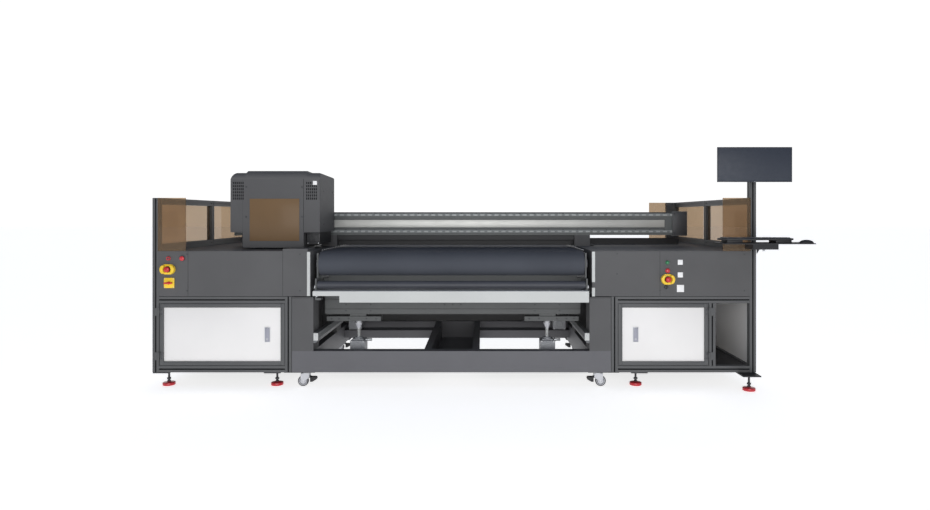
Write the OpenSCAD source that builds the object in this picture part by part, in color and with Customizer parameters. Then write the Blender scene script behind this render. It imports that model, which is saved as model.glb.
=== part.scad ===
// Belt-fed hybrid UV printer for sign making.
// Two equipment cabinets stand either side of a lifting belt conveyor, and a
// gantry beam carries the print carriage across all three.
// X runs along the beam, Y from front to rear, Z up from the floor.

/* [Cabinets] */
// Clear width between the two columns
gap_w = 1934; // [1800:2:2100]
// Width of a column at each side of the conveyor
column_w = 150; // [140:160]
// Width of the left cabinet
left_cab_w = 973; // [960:1000]
// Width of the right cabinet
right_cab_w = 1013; // [1000:1040]
// Depth of both cabinets
cab_d = 1760; // [1740:1800]
// Height of the cabinet tops
table_z = 968; // [966:972]
// Height of the underside of the cabinets
under_z = 118; // [116:122]
// Side of the square aluminium profiles
profile = 45; // [44:46]
// Thickness of cover sheets
sheet = 3; // [2:4]
// Height of the top of the side screens
screen_z = 1340; // [1300:1380]

/* [Base frame and gantry] */
// Depth of the base frame
base_d = 1307; // [1300:1320]
// Height of the base frame's tubes
base_h = 149; // [142:152]
// Left end of the gantry beam
beam_left = -1800; // [-1820:-1780]
// Right end of the gantry beam
beam_right = 1880; // [1860:1900]
// Front face of the gantry beam
beam_y = 717; // [715:720]
// Underside of the gantry beam
beam_z = 1057; // [1055:1060]
// Height of the gantry beam's section
beam_h = 186; // [180:190]
// Depth of the gantry beam's section
beam_d = 150; // [140:160]

/* [Conveyor] */
// Half width of the belt
belt_half = 937; // [930:938]
// Radius of a drum with the belt on it
drum_r = 85; // [82:86]
// Height of the belt's top surface
belt_z = 958; // [956:960]
// Distance of the front drum's axis behind the cabinet fronts
drum_y = 103; // [100:110]
// Thickness of the belt
belt_t = 3; // [2:4]
// How far the conveyor can be lowered
lift = 50; // [40:60]

/* [Carriage] */
// Width of the carriage cover
car_w = 658; // [640:660]
// Parked position of the cover's left side
car_x = -1640; // [-1650:-1630]
// Front of the carriage cover
car_y = 232; // [230:240]
// Underside of the cover's middle
car_z = 979; // [978:986]
// Top of the carriage cover
car_top = 1549; // [1540:1560]

/* [Workstation] */
// Width of the monitor
monitor_w = 508; // [480:520]
// Height of the monitor
monitor_h = 238; // [230:250]
// Width of the keyboard tray
tray_w = 596; // [590:600]
// Depth of the keyboard tray
tray_d = 225; // [220:235]

/* [Hidden] */
$fn = 48;

// Colours
paint = [0.38, 0.385, 0.39];
frame_paint = [0.41, 0.41, 0.425];
dark = [0.16, 0.165, 0.175];
white = [0.92, 0.92, 0.92];
amber = [0.52, 0.42, 0.30, 0.6];
steel = [0.72, 0.72, 0.72];
light_metal = [0.79, 0.795, 0.78];
black = [0.1, 0.1, 0.11];
red = [0.78, 0.18, 0.2];
yellow = [0.94, 0.82, 0.22];
green = [0.25, 0.6, 0.35];

// Cabinet sides
column_in = gap_w / 2;
column_out = column_in + column_w;
left_in = -column_out - 3;
left_out = left_in - left_cab_w;
right_in = column_out + 3;
right_out = right_in + right_cab_w;

// Cabinet heights
rail_z = 603;
shell_z = 650;
shell_in = 986;
weld = 0.5;
door_gap = 2;

// T-slot profile
slot_w = 10;
slot_d = 6;

// Bay divider of the right cabinet
divider_x = 1804;

// Screens
screen_t = 5;
mid_post_y = 866;
rear_post_w = 80;

// Base frame
base_top = under_z + base_h;
tube_wall = 8;
tube_t = 75;
mid_tube_in = 146;
mid_tube_out = 196;
front_carrier = [160, 300];
front_carrier_z = [under_z, 215];
rear_carrier = [base_d - 300, base_d - 160];
rear_carrier_z = [168, 228];

// Jacks
jack_x = 693;
jack_rear_x = 880;
jack_front_y = (front_carrier[0] + front_carrier[1]) / 2;
jack_rear_y = (rear_carrier[0] + rear_carrier[1]) / 2;
jack_r = 12;
jack_box_h = 100;
jack_top = rear_carrier_z[1] + jack_box_h + 57 + lift;

// Gantry
rail_h = 15;
rail_w = 20;
rail_low_z = beam_z + 19;
rail_high_z = beam_z + beam_h - 33;
rail_end = beam_right - 122;
band_end = beam_right - 181;

// Conveyor
drum_z = belt_z - drum_r;
rear_drum_y = base_d - drum_y;
shaft_r = 15;
side_plate_in = 942;
side_plate_t = 12;
roller_r = 29;
roller_y = 22;
roller_z = 727;

// Carriage
car_r = 55;
wing_z = 1092;
wing_l = 90;
wing_r = 119;
chassis_y = 690;

// Doors
door_bar = 30;
door_d = 24;
door_bottom = under_z + profile + door_gap;
door_top = rail_z - door_gap;
hinge_y = -6.5;
hinge_r = 6;
pin_r = 2.5;
leaf_h = 54;
hinge_zs = [205, 515];
left_hinge_x = left_out + profile + 1.5;
right_hinge_x = divider_x - 1.5;
latch_w = 38;
latch_h = 105;
latch_z = 382;
left_latch_x = -1290;
right_latch_x = 1291;

// Controls on the cabinet fronts: [x, z]
ring_at = [-1980, 916];
red_at = [-1884, 916];
left_stop_at = [-1982, 840];
isolator_at = [-1975, 745];
green_at = [1511, 887];
reset_at = [1513, 830];
right_stop_at = [1513, 770];
key_at = [1503, 715];
stem_r = 8;
running = 0.3;

// Levelling feet: [x, y]
foot_front = 120;
foot_rear = cab_d - 120;
foot_xs = [left_out + 57, -1258, 1318, right_out - 61];
feet = [
    [foot_xs[0], foot_front], [foot_xs[1], foot_front], [foot_xs[2], foot_front], [foot_xs[3], -25],
    for (x = foot_xs) [x, foot_rear]
];
pad_r = 43;

// Casters
caster_x = 1032;
caster_front_y = 75;
caster_rear_y = base_d - 75;
caster_trail = 25;
wheel_r = 37.5;
wheel_z = 41.5;
wheel_w = 28;
axle_r = 5;
plate_z = under_z - 8.2;

// Workstation
post_x = right_out - profile;
monitor_x = 2068;
monitor_z = 1563;
monitor_y = -95;
tray_z = 1031;
tray_x = 1782;
tray_y = -345;
pivot_x = 2140;
pivot_y = -105;

// The origin is on the floor below the middle of the whole machine
frame_x = -(left_out + tray_x + tray_w) / 2;
frame_y = -(tray_y + cab_d) / 2;

module in_frame() {
    translate([frame_x, frame_y, 0]) children();
}

// A box between two limits on each axis
module box(x, y, z) {
    translate([x[0], y[0], z[0]]) cube([x[1] - x[0], y[1] - y[0], z[1] - z[0]]);
}

// A cylinder along Y from y0 to y1
module rod_y(x, z, r, y0, y1) {
    translate([x, y1, z]) rotate([90, 0, 0]) cylinder(r = r, h = y1 - y0);
}

// A cylinder along X from x0 to x1
module rod_x(x0, x1, y, z, r) {
    translate([x0, y, z]) rotate([0, 90, 0]) cylinder(r = r, h = x1 - x0);
}

// Copies its children to both sides of the conveyor
module both_sides() {
    children();
    mirror([1, 0, 0]) children();
}

module profile_section() {
    difference() {
        square(profile);
        for (a = [0:90:270])
            translate([profile / 2, profile / 2]) rotate(a)
                translate([profile / 2 - slot_d, -slot_w / 2]) square([slot_d + 1, slot_w]);
    }
}

module bar_z(x, y, z0, z1) {
    translate([x, y, z0]) linear_extrude(z1 - z0) profile_section();
}

module bar_x(x0, x1, y, z) {
    translate([x0, y, z]) rotate([90, 0, 90]) linear_extrude(x1 - x0) profile_section();
}

module bar_y(x, y0, y1, z) {
    translate([x, y1, z]) rotate([90, 0, 0]) linear_extrude(y1 - y0) profile_section();
}

// A rectangular tube along "x", "y" or "z", open at its ends
module tube(x, y, z, along) {
    inner = function (a, name) along == name ? [a[0] - 1, a[1] + 1] : [a[0] + tube_wall, a[1] - tube_wall];
    difference() {
        box(x, y, z);
        box(inner(x, "x"), inner(y, "y"), inner(z, "z"));
    }
}

// Rectangular tubes welded into a floor frame
module base_frame() {
    z = [under_z, base_top];
    side_y = [tube_t + weld, base_d - tube_t - weld];
    color(frame_paint) in_frame() {
        for (y = [0, base_d - tube_t]) tube([-column_out, column_out], [y, y + tube_t], z, "x");
        both_sides() tube([column_in, column_out], side_y, z, "y");
        both_sides() tube([mid_tube_in, mid_tube_out], side_y, z, "y");
        box([-mid_tube_in + weld, mid_tube_in - weld], side_y, [120, 125]);
        both_sides() {
            jack_carrier(front_carrier, front_carrier_z, jack_x);
            jack_carrier(rear_carrier, rear_carrier_z, jack_rear_x);
        }
    }
}

// A cross tube that carries one jack, open below the jack's screw
module jack_carrier(y, z, screw_x) {
    difference() {
        tube([mid_tube_out + weld, column_in - weld], y, z, "x");
        translate([screw_x, (y[0] + y[1]) / 2, z[0] - 1]) cylinder(r = jack_r + 8, h = z[1]);
    }
}

// Rails of one cabinet: front, rear and both sides, at the bottom and below the shell
module cabinet_rails(x0, x1) {
    for (z = [under_z, rail_z]) {
        for (y = [0, cab_d - profile]) bar_x(x0 + profile + weld, x1 - profile - weld, y, z);
        for (x = [x0, x1 - profile]) bar_y(x, profile + weld, cab_d - profile - weld, z);
    }
}

module left_cabinet_frame() {
    color(paint) in_frame() {
        cabinet_rails(left_out, left_in);
        for (y = [0, cab_d - profile]) {
            bar_z(left_out, y, under_z, screen_z);
            bar_z(left_in - profile, y, under_z, rail_z + profile);
        }
    }
}

module right_cabinet_frame() {
    color(paint) in_frame() {
        cabinet_rails(right_in, right_out);
        bar_z(post_x, 0, under_z, monitor_z + 20);
        bar_z(post_x, cab_d - profile, under_z, screen_z);
        for (y = [0, cab_d - profile]) {
            bar_z(right_in, y, under_z, rail_z + profile);
            bar_z(divider_x, y, under_z + profile + weld, rail_z - weld);
        }
    }
}

// Sheets of one upper body: front, rear, outer side, inner side and table top
module shell_sheets(x0, x1) {
    low = shell_z + 1;
    for (y = [0, cab_d - sheet])
        box([x0 + profile + weld, x1], [y, y + sheet], [low, table_z - sheet - weld]);
    box([x0, x0 + sheet], [profile + weld, cab_d - profile - weld], [low, table_z - sheet - weld]);
    for (y = [[sheet + weld, beam_y - 20], [beam_y + beam_d + 20, cab_d - sheet - weld]])
        box([x1 - sheet, x1], y, [low, table_z - sheet - weld]);
    difference() {
        box([x0, x1], [0, cab_d], [table_z - sheet, table_z]);
        for (y = [-1, cab_d - profile - weld])
            box([x0 - 1, x0 + profile + weld], [y, y + profile + weld + 1], [table_z - 9, table_z + 9]);
        box([x1 - column_w, x1 + 1], [beam_y - 5, beam_y + beam_d + 5], [table_z - 9, table_z + 9]);
    }
}

// Sheet-metal upper bodies, pierced for the controls' stems
module cabinet_shells() {
    color(paint) in_frame() {
        difference() {
            shell_sheets(left_out, -shell_in);
            for (c = [ring_at, red_at, left_stop_at, isolator_at])
                rod_y(c[0], c[1], stem_r + running, -1, sheet + 1);
        }
        difference() {
            mirror([1, 0, 0]) shell_sheets(-right_out, -shell_in);
            for (c = [green_at, reset_at, right_stop_at, key_at])
                rod_y(c[0], c[1], stem_r + running, -1, sheet + 1);
        }
    }
}

// Front and rear columns, with plain walls between them
module column_covers() {
    color(paint) in_frame() {
        both_sides() {
            for (y = [0, base_d - column_w])
                box([column_in, column_out], [y, y + column_w], [base_top, shell_z - 5]);
            for (y = [[column_w + weld, beam_y - weld], [beam_y + beam_d + weld, base_d - column_w - weld]])
                box([column_out - 30, column_out - 27], y, [base_top, shell_z - 5]);
        }
        box([weld - column_in, column_in - weld], [base_d - 25, base_d - 22], [base_top + weld, 640]);
        box([-1181, -1007], [0, 200], [table_z, table_z + 15]);
    }
}

// Posts and rails of the screens round both tables
module side_screen_frames() {
    color(paint) in_frame() {
        for (x = [left_out, post_x]) {
            bar_z(x, mid_post_y, table_z, screen_z);
            for (z = [table_z, screen_z - profile]) {
                bar_y(x, profile + weld, mid_post_y - weld, z);
                bar_y(x, mid_post_y + profile + weld, cab_d - profile - weld, z);
            }
        }
        for (x = [left_out + profile + weld, post_x - rear_post_w])
            box([x, x + rear_post_w - weld], [cab_d - profile, cab_d], [table_z, screen_z]);
    }
}

// Tinted acrylic sheets at the sides, and a wing at each end
module side_screen_panels() {
    wing = [profile + rear_post_w + 1, profile + rear_post_w + 163];
    color(amber) in_frame() {
        for (x = [left_out + 20, post_x + 20])
            for (y = [[profile + 1, mid_post_y - 1], [mid_post_y + profile + 1, cab_d - profile - 1]])
                box([x, x + screen_t], y, [table_z + profile + 1, screen_z - profile - 1]);
        box([left_out + 40, left_out + 235], [-0.5 - screen_t, -0.5], [table_z, screen_z]);
        box([right_out - 235, right_out - 40], [-0.5 - screen_t, -0.5], [table_z, screen_z]);
        box([left_out + wing[0], left_out + wing[1]], [cab_d - 25, cab_d - 20], [table_z, screen_z]);
        box([right_out - wing[1], right_out - wing[0]], [cab_d - 25, cab_d - 20], [table_z, screen_z]);
    }
}

// White sheets that close the sides and backs of the lower cabinets
module cabinet_panels() {
    low = under_z + profile;
    color(white) in_frame() {
        for (c = [[left_out, left_in], [right_in, right_out]])
            for (x = [c[0] + 20, c[1] - 25])
                box([x, x + sheet], [profile + 1, cab_d - profile - 1], [low + 1, rail_z - 1]);
        box([left_out + profile + 1, left_in - profile - 1], [cab_d - 20, cab_d - 17],
            [low + 1, rail_z - 1]);
        box([right_in + profile + 1, divider_x - 1], [cab_d - 20, cab_d - 17], [low + 1, rail_z - 1]);
        box([divider_x + 20, divider_x + 23], [profile + 1, cab_d - profile - 1], [low + 1, rail_z - 1]);
    }
}

// Pale strips on the inner edges of the upper bodies
module edge_strips() {
    color(light_metal) in_frame() {
        box([-1009, -988], [-8, -0.2], [654, 962]);
        box([983, 1004], [-8, -0.2], [751, 964]);
        box([983, 1004], [-8, -0.2], [651, 711]);
    }
}

// One half of a hinge: a leaf with its own share of the knuckles
module hinge_half(x, side, z, zs, bore) {
    difference() {
        union() {
            box([x + (side > 0 ? 0 : -30), x + (side > 0 ? 30 : 0)], [-3, -0.2], [z, z + leaf_h]);
            translate([x, hinge_y, z]) cylinder(r = hinge_r, h = leaf_h);
        }
        for (c = zs) translate([x, hinge_y, z + c[0]]) cylinder(r = hinge_r + 0.4, h = c[1] - c[0]);
        if (bore) translate([x, hinge_y, z - 1]) cylinder(r = pin_r + 0.05, h = leaf_h + 2);
    }
}

// Fixed halves of the door hinges, with their pins
module door_hinges() {
    third = leaf_h / 3;
    color(dark) in_frame() {
        for (z = hinge_zs) {
            hinge_half(left_hinge_x, -1, z, [[third, 2 * third]], false);
            hinge_half(right_hinge_x, 1, z, [[third, 2 * third]], false);
            for (x = [left_hinge_x, right_hinge_x])
                translate([x, hinge_y, z]) cylinder(r = pin_r, h = leaf_h);
        }
    }
}

module gantry_beam() {
    y1 = beam_y + beam_d;
    z1 = beam_z + beam_h;
    color(paint) in_frame() {
        difference() {
            box([beam_left + 12, beam_right - 12], [beam_y, y1], [beam_z, z1]);
            box([beam_left, beam_right], [beam_y + 8, y1 - 8], [beam_z + 8, z1 - 8]);
        }
        for (x = [beam_left, beam_right - 11.5])
            box([x, x + 11.5], [beam_y - 6, y1 + 6], [beam_z - 6, z1 + 6]);
        box([rail_end + 1, beam_right], [beam_y - 12, beam_y + 1], [beam_z - 6, z1 + 6]);
    }
}

// Two linear rails on the beam's face, with a plain band between them
module gantry_rails() {
    color(light_metal) in_frame() {
        for (z = [rail_low_z, rail_high_z])
            box([beam_left + 20, rail_end], [beam_y - rail_h, beam_y], [z, z + rail_w]);
        box([beam_left + 20, band_end], [beam_y - 4, beam_y], [beam_z + 63, beam_z + 125]);
    }
}

module gantry_pillars() {
    color(paint) in_frame() both_sides()
        tube([column_in, column_in + 126], [beam_y, beam_y + beam_d], [base_top, beam_z], "z");
}

// Open trough for the cable chain on the right table, and two skirts below the beam
module cable_trough() {
    skirt_x = [weld - column_in, column_in - weld];
    color(dark) in_frame() {
        box(skirt_x, [beam_y + 23, beam_y + 33], [beam_z - 39, beam_z - weld]);
        box(skirt_x, [beam_y + 83, beam_y + 86], [belt_z + 14, beam_z - weld]);
        box([1037, 1903], [1000, 1100], [table_z, table_z + 3]);
        for (y = [1000, 1097]) box([1037, 1903], [y, y + 3], [table_z + 3.5, table_z + 52]);
    }
}

module at_each_jack() {
    for (s = [-1, 1]) {
        translate([s * jack_x, jack_front_y, 0]) children();
        translate([s * jack_rear_x, jack_rear_y, 0]) children();
    }
}

// One worm gearbox with its input shaft, standing at height z
module gearbox(x, y, z) {
    translate([x, y, z]) difference() {
        union() {
            box([-55, 55], [-55, 55], [0, jack_box_h]);
            cylinder(r = 32, h = jack_box_h + 12);
            rod_x(54, 97, 0, jack_box_h - 12, 9);
        }
        translate([0, 0, -1]) cylinder(r = jack_r + 0.08, h = jack_box_h + 20);
    }
}

// The four worm gearboxes
module jack_housings() {
    color(steel) in_frame() for (s = [-1, 1]) {
        gearbox(s * jack_x, jack_front_y, front_carrier_z[1]);
        gearbox(s * jack_rear_x, jack_rear_y, rear_carrier_z[1]);
    }
}

// Horizontal arms along the inner faces of the columns
module roll_arms() {
    arm = [column_in - 34, column_in - 0.2];
    color(steel) in_frame() both_sides() difference() {
        box(arm, [2, 850], [324, 394]);
        translate([arm[0], 851, 324]) rotate([90, 0, 0])
            linear_extrude(850) polygon([[-1, -1], [16, -1], [-1, 32]]);
    }
}

// A ring round a push button, standing on the panel
module bezel(at, d) {
    difference() {
        rod_y(at[0], at[1], d / 2, -6, 0);
        rod_y(at[0], at[1], d / 2 - 2.5, -7, 1);
    }
}

// An oval guard with a raised lobe at each end of an emergency stop
module stop_guard(at, w, h) {
    difference() {
        union() {
            hull_w = w / 2 - h / 2;
            for (s = [-1, 1]) rod_y(at[0] + s * hull_w, at[1], h / 2, -26, 0);
            box([at[0] - hull_w, at[0] + hull_w], [-8, 0], [at[1] - h / 2, at[1] + h / 2]);
        }
        rod_y(at[0], at[1], 26, -27, -8);
        rod_y(at[0], at[1], stem_r + running, -27, 1);
    }
}

// Fixed rings, guards and plates of the controls
module control_bezels() {
    color(yellow) in_frame() {
        bezel(ring_at, 31);
        bezel(red_at, 38);
        bezel(green_at, 28);
        bezel(reset_at, 33);
        bezel(key_at, 28);
        stop_guard(left_stop_at, 103, 71);
        stop_guard(right_stop_at, 95, 74);
        difference() {
            box([isolator_at[0] - 36, isolator_at[0] + 37], [-6, 0],
                [isolator_at[1] - 36, isolator_at[1] + 36]);
            rod_y(isolator_at[0], isolator_at[1], stem_r + running, -7, 1);
        }
    }
}

// Blank name plates beside the right-hand controls
module label_plates() {
    color(white) in_frame() {
        for (c = [[1602, 889, 35], [1602, 801, 36], [1603, 706, 50]])
            box([c[0] - c[2] / 2, c[0] + c[2] / 2], [-1.5, 0], [c[1] - c[2] / 2, c[1] + c[2] / 2]);
    }
}

// Screw feet: a domed pad, a threaded stem and a lock nut on each
module levelling_feet() {
    color(red) in_frame() for (f = feet) translate([f[0], f[1], 0]) {
        rotate_extrude()
            polygon([[0, 0], [pad_r - 3, 0], [pad_r, 4], [pad_r, 17], [pad_r - 4, 21], [20, 24], [0, 24]]);
        translate([0, 0, 23]) cylinder(r = 8, h = plate_z - 23);
        translate([0, 0, 40]) cylinder(r = 15, h = 13, $fn = 6);
    }
}

// Plates under the frames for the feet and casters, and the cabinet floors
module mounting_plates() {
    z = [plate_z, under_z - 0.2];
    color(paint) in_frame() {
        for (f = feet) if (f[1] > 0)
            box([f[0] - 57, f[0] + 57], [f[1] - 115, f[1] + 60], z);
        box([foot_xs[3] - 70, foot_xs[3] + 54], [-100, 60], z);
        both_sides() for (y = [caster_front_y, caster_rear_y])
            box([caster_x - 70, caster_x + 148], [y - 52, y + 52], z);
        for (c = [[left_out, left_in], [right_in, right_out]])
            box([c[0] + profile + 1, c[1] - profile - 1], [profile + 1, cab_d - profile - 1],
                [under_z + 34, under_z + 37]);
    }
}

// Monitor bracket on the right front post, and the arm under the tray
module workstation_arms() {
    color(dark) in_frame() {
        difference() {
            union() {
                box([monitor_x - 35, post_x + 50], [-8, -0.2], [monitor_z - 60, monitor_z + 20]);
                for (x = [monitor_x - 30, monitor_x + 22])
                    box([x, x + 8], [monitor_y + 42, -0.2], [monitor_z - 20, monitor_z + 20]);
            }
            rod_x(monitor_x - 50, monitor_x + 50, monitor_y + 55, monitor_z, 6.05);
        }
        difference() {
            union() {
                box([post_x - 35, post_x + 139], [-135, -6.5], [tray_z - 46, tray_z - 6]);
                box([post_x + 10, post_x + 35], [-7, -0.2], [tray_z - 46, tray_z - 6]);
                gusset();
            }
            translate([pivot_x, pivot_y, tray_z - 60]) cylinder(r = 8.05, h = 90);
        }
    }
}

// Triangular gusset below the tray's arm
module gusset() {
    translate([right_out, -7, tray_z - 45]) rotate([90, 0, 0]) linear_extrude(8)
        polygon([[0, 0], [0, -36], [22, 0]]);
}

// Outline of the cover seen from the front: wings at both sides of a deep middle
module cover_outline() {
    w = car_w;
    side_top = car_top - 15;
    difference() {
        polygon([
            [0, wing_z], [wing_l, wing_z], [wing_l, car_z], [w - wing_r, car_z],
            [w - wing_r, wing_z], [w, wing_z], [w, car_top - 27], [w - 12, side_top],
            [w - 94, side_top], [w - 106, car_top], [115, car_top], [103, side_top], [0, side_top]
        ]);
        difference() {
            translate([-1, side_top - 34]) square([35, 35]);
            translate([34, side_top - 34]) circle(r = 34);
        }
    }
}

// Sheet-metal cover of the carriage, open below and behind, with a window opening
module carriage_cover() {
    inset = 3;
    color(paint) in_frame() difference() {
        translate([car_x, chassis_y - 1, 0]) rotate([90, 0, 0])
            linear_extrude(chassis_y - 1 - car_y) cover_outline();
        box([car_x + inset, car_x + wing_l], [car_y + inset, chassis_y],
            [wing_z - 1, car_top - car_r - inset]);
        box([car_x + wing_l - 1, car_x + car_w - wing_r + 1], [car_y + inset, chassis_y],
            [car_z - 1, car_top - car_r - inset]);
        box([car_x + wing_l - 1, car_x + car_w - wing_r + 1], [car_y + car_r, chassis_y],
            [car_z - 1, car_top - inset]);
        box([car_x + car_w - wing_r, car_x + car_w - inset], [car_y + inset, chassis_y],
            [wing_z - 1, car_top - car_r - inset]);
        box([car_x + 143, car_x + 507], [car_y - 1, car_y + inset + 1], [1030, 1338]);
        round_front();
    }
}

// What is cut away along the cover's upper front edge
module round_front() {
    difference() {
        box([car_x - 1, car_x + car_w + 1], [car_y - 1, car_y + car_r], [car_top - car_r, car_top + 1]);
        rod_x(car_x - 2, car_x + car_w + 2, car_y + car_r, car_top - car_r, car_r);
    }
}

// Back plate with a channel block on each rail, and a shelf for the print heads
module carriage_chassis() {
    color(steel) in_frame() {
        box([car_x + 30, car_x + car_w - 40], [chassis_y, chassis_y + 8], [car_z + 20, car_top - 80]);
        for (x = [car_x + 70, car_x + car_w - 190])
            for (z = [rail_low_z, rail_high_z])
                difference() {
                    box([x, x + 110], [chassis_y + 8, beam_y - 3], [z - 14, z + rail_w + 14]);
                    box([x - 1, x + 111], [beam_y - rail_h - 0.3, beam_y],
                        [z - 0.3, z + rail_w + 0.3]);
                }
        box([car_x + 120, car_x + 510], [car_y + 20, chassis_y], [car_z + 20, car_z + 28]);
    }
}

// Tinted window in the front of the cover
module carriage_window() {
    color(amber) in_frame()
        box([car_x + 136, car_x + 514], [car_y + 3.2, car_y + 7], [1024, 1345]);
}

// Staggered rows of print heads, and a curing lamp at each side
module print_heads() {
    color(black) in_frame() {
        for (i = [0:7])
            box([car_x + 135 + 45 * i, car_x + 168 + 45 * i], [car_y + 60 + (i % 2) * 130,
                car_y + 180 + (i % 2) * 130], [car_z - 8, car_z + 19.8]);
        box([car_x + wing_l - 26, car_x + wing_l - 4], [car_y + 60, chassis_y - 60], [1002, wing_z + 30]);
        box([car_x + car_w - wing_r + 8, car_x + car_w - 14], [car_y + 60, chassis_y - 60],
            [1002, wing_z + 30]);
    }
}

// Lifting frame: side plates, cross beams, jack bars and the pan under the belt
module conveyor_frame() {
    plate_y = [drum_y - 60, rear_drum_y + 60];
    color(dark) in_frame() {
        both_sides() {
            difference() {
                box([side_plate_in, side_plate_in + side_plate_t], plate_y, [692, belt_z - 8]);
                for (y = [drum_y, rear_drum_y])
                    rod_x(side_plate_in - 1, side_plate_in + 20, y, drum_z, shaft_r + 0.05);
            }
            roller_bracket();
            for (y = [195, base_d - 240]) box([908, side_plate_in - weld], [y, y + 45], [640.5, 760]);
            for (y = [jack_front_y, jack_rear_y]) {
                box([525, 920], [y - 40, y + 40], [446, 479]);
                box([jack_x - 60, jack_x + 60], [y - 30, y + 30], [479.5, 495]);
            }
        }
        for (y = [195, base_d - 240]) difference() {
            box([-933, 933], [y, y + 45], [500, 640]);
            for (z = [532, 602]) box([-934, 934], [y - 1, y + slot_d], [z, z + slot_w]);
        }
        box([-930, 930], [195, base_d - 195], [495.5, 499.5]);
        box([weld - 908, 908 - weld], [200, 203], [640.5, drum_z - drum_r - 4]);
    }
}

// Arm that holds one end of the lower roller and of the front bar
module roller_bracket() {
    x = [side_plate_in, side_plate_in + side_plate_t - 1];
    difference() {
        box(x, [-8, drum_y - 60.5], [640, 775]);
        rod_x(x[0] - 1, x[1] + 1, roller_y, roller_z, 10.05);
    }
    box([x[0] - 30, x[1] - 1], [-7.5, drum_y - 61], [625, 639.5]);
}

// Flat bed that carries the belt between the drums
module platen() {
    color(dark) in_frame()
        box([-belt_half, belt_half], [drum_y + drum_r + 12, rear_drum_y - drum_r - 12],
            [belt_z - belt_t - 41, belt_z - belt_t - 1]);
}

// Endless belt round both drums
module conveyor_belt() {
    color(dark) in_frame() difference() {
        union() {
            for (y = [drum_y, rear_drum_y]) rod_x(-belt_half, belt_half, y, drum_z, drum_r);
            box([-belt_half, belt_half], [drum_y, rear_drum_y], [drum_z - drum_r, drum_z + drum_r]);
        }
        for (y = [drum_y, rear_drum_y])
            rod_x(-belt_half - 1, belt_half + 1, y, drum_z, drum_r - belt_t);
        box([-belt_half - 1, belt_half + 1], [drum_y, rear_drum_y],
            [drum_z - drum_r + belt_t, drum_z + drum_r - belt_t]);
    }
}

module drum(y) {
    color(steel) in_frame() {
        rod_x(-belt_half, belt_half, y, drum_z, drum_r - belt_t - 0.3);
        rod_x(-side_plate_in - side_plate_t, side_plate_in + side_plate_t, y, drum_z, shaft_r);
    }
}
module front_drum() { drum(drum_y); }
module rear_drum() { drum(rear_drum_y); }

module lower_roller() {
    color(steel) in_frame() {
        rod_x(-side_plate_in + 3, side_plate_in - 3, roller_y, roller_z, roller_r);
        rod_x(-side_plate_in - 11, side_plate_in + 11, roller_y, roller_z, 10);
    }
}

// Folded bar across the front, cut away below at its left end
module front_bar() {
    x = [-949, 949];
    color(light_metal) in_frame() difference() {
        union() {
            box(x, [-86, -83], [619, 696]);
            box(x, [-83, -8.5], [693, 696]);
            box(x, [-11.5, -8.5], [672, 693]);
        }
        box([x[0] - 1, -765], [-87, -82], [618, 664]);
    }
}

// Lifting screws with their top flanges
module jack_screws() {
    color(steel) in_frame() at_each_jack() {
        translate([0, 0, 240]) cylinder(r = jack_r, h = jack_top - 41 - 240);
        translate([0, 0, jack_top - 42]) cylinder(r1 = 14, r2 = 26, h = 36);
        translate([0, 0, jack_top - 6]) cylinder(r = 26, h = 6);
        translate([0, 0, jack_top]) cylinder(r = 20, h = 10.8);
    }
}

// A door: a profile frame, a white sheet, the moving hinge leaves and a latch housing
module door(x0, x1, hinge_x, side, latch_x) {
    y = [0.5, door_d];
    third = leaf_h / 3;
    for (x = [x0, x1 - door_bar]) box([x, x + door_bar], y, [door_bottom, door_top]);
    for (z = [door_bottom, door_top - door_bar])
        box([x0 + door_bar - 1, x1 - door_bar + 1], y, [z, z + door_bar]);
    box([x0 + door_bar - 2, x1 - door_bar + 2], [9, 12], [door_bottom + 28, door_top - 28]);
    difference() {
        box([latch_x - latch_w / 2, latch_x + latch_w / 2], [1, 9],
            [latch_z - latch_h / 2, latch_z + latch_h / 2]);
        box([latch_x - latch_w / 2 + 4, latch_x + latch_w / 2 - 4], [0, 7],
            [latch_z - latch_h / 2 + 4, latch_z + latch_h / 2 - 4]);
    }
    for (z = hinge_zs) {
        hinge_half(hinge_x, side, z, [[-1, third + 0.5], [2 * third - 0.5, leaf_h + 1]], true);
        box([hinge_x + (side > 0 ? 8 : -29), hinge_x + (side > 0 ? 29 : -8)], [-0.2, 0.5],
            [z + 4, z + leaf_h - 4]);
    }
}

module left_door() {
    color(white) in_frame()
        door(left_out + profile + 3, left_in - profile - 2, left_hinge_x, 1, left_latch_x);
}

module right_door() {
    color(white) in_frame()
        door(right_in + profile + 2, divider_x - 3, right_hinge_x, -1, right_latch_x);
}

// A lifting paddle that turns about its upper edge
module latch(x) {
    w = latch_w - 9;
    top = latch_z + latch_h / 2 - 8;
    color(steel) in_frame() {
        box([x - w / 2, x + w / 2], [1, 4], [latch_z - latch_h / 2 + 5, top]);
        rod_x(x - w / 2, x + w / 2, 3, top, 2);
    }
}
module left_latch() { latch(left_latch_x); }
module right_latch() { latch(right_latch_x); }

// A push button's cap on a stem that runs through the panel
module push_button(at, d, paint_colour) {
    color(paint_colour) in_frame() {
        rod_y(at[0], at[1], d / 2 - 2.8, -10, -3.5);
        rod_y(at[0], at[1], stem_r, -4, 22);
    }
}
module ring_button() { push_button(ring_at, 31, red); }
module red_button() { push_button(red_at, 38, red); }
module green_button() { push_button(green_at, 28, green); }
module reset_button() { push_button(reset_at, 33, red); }

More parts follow.
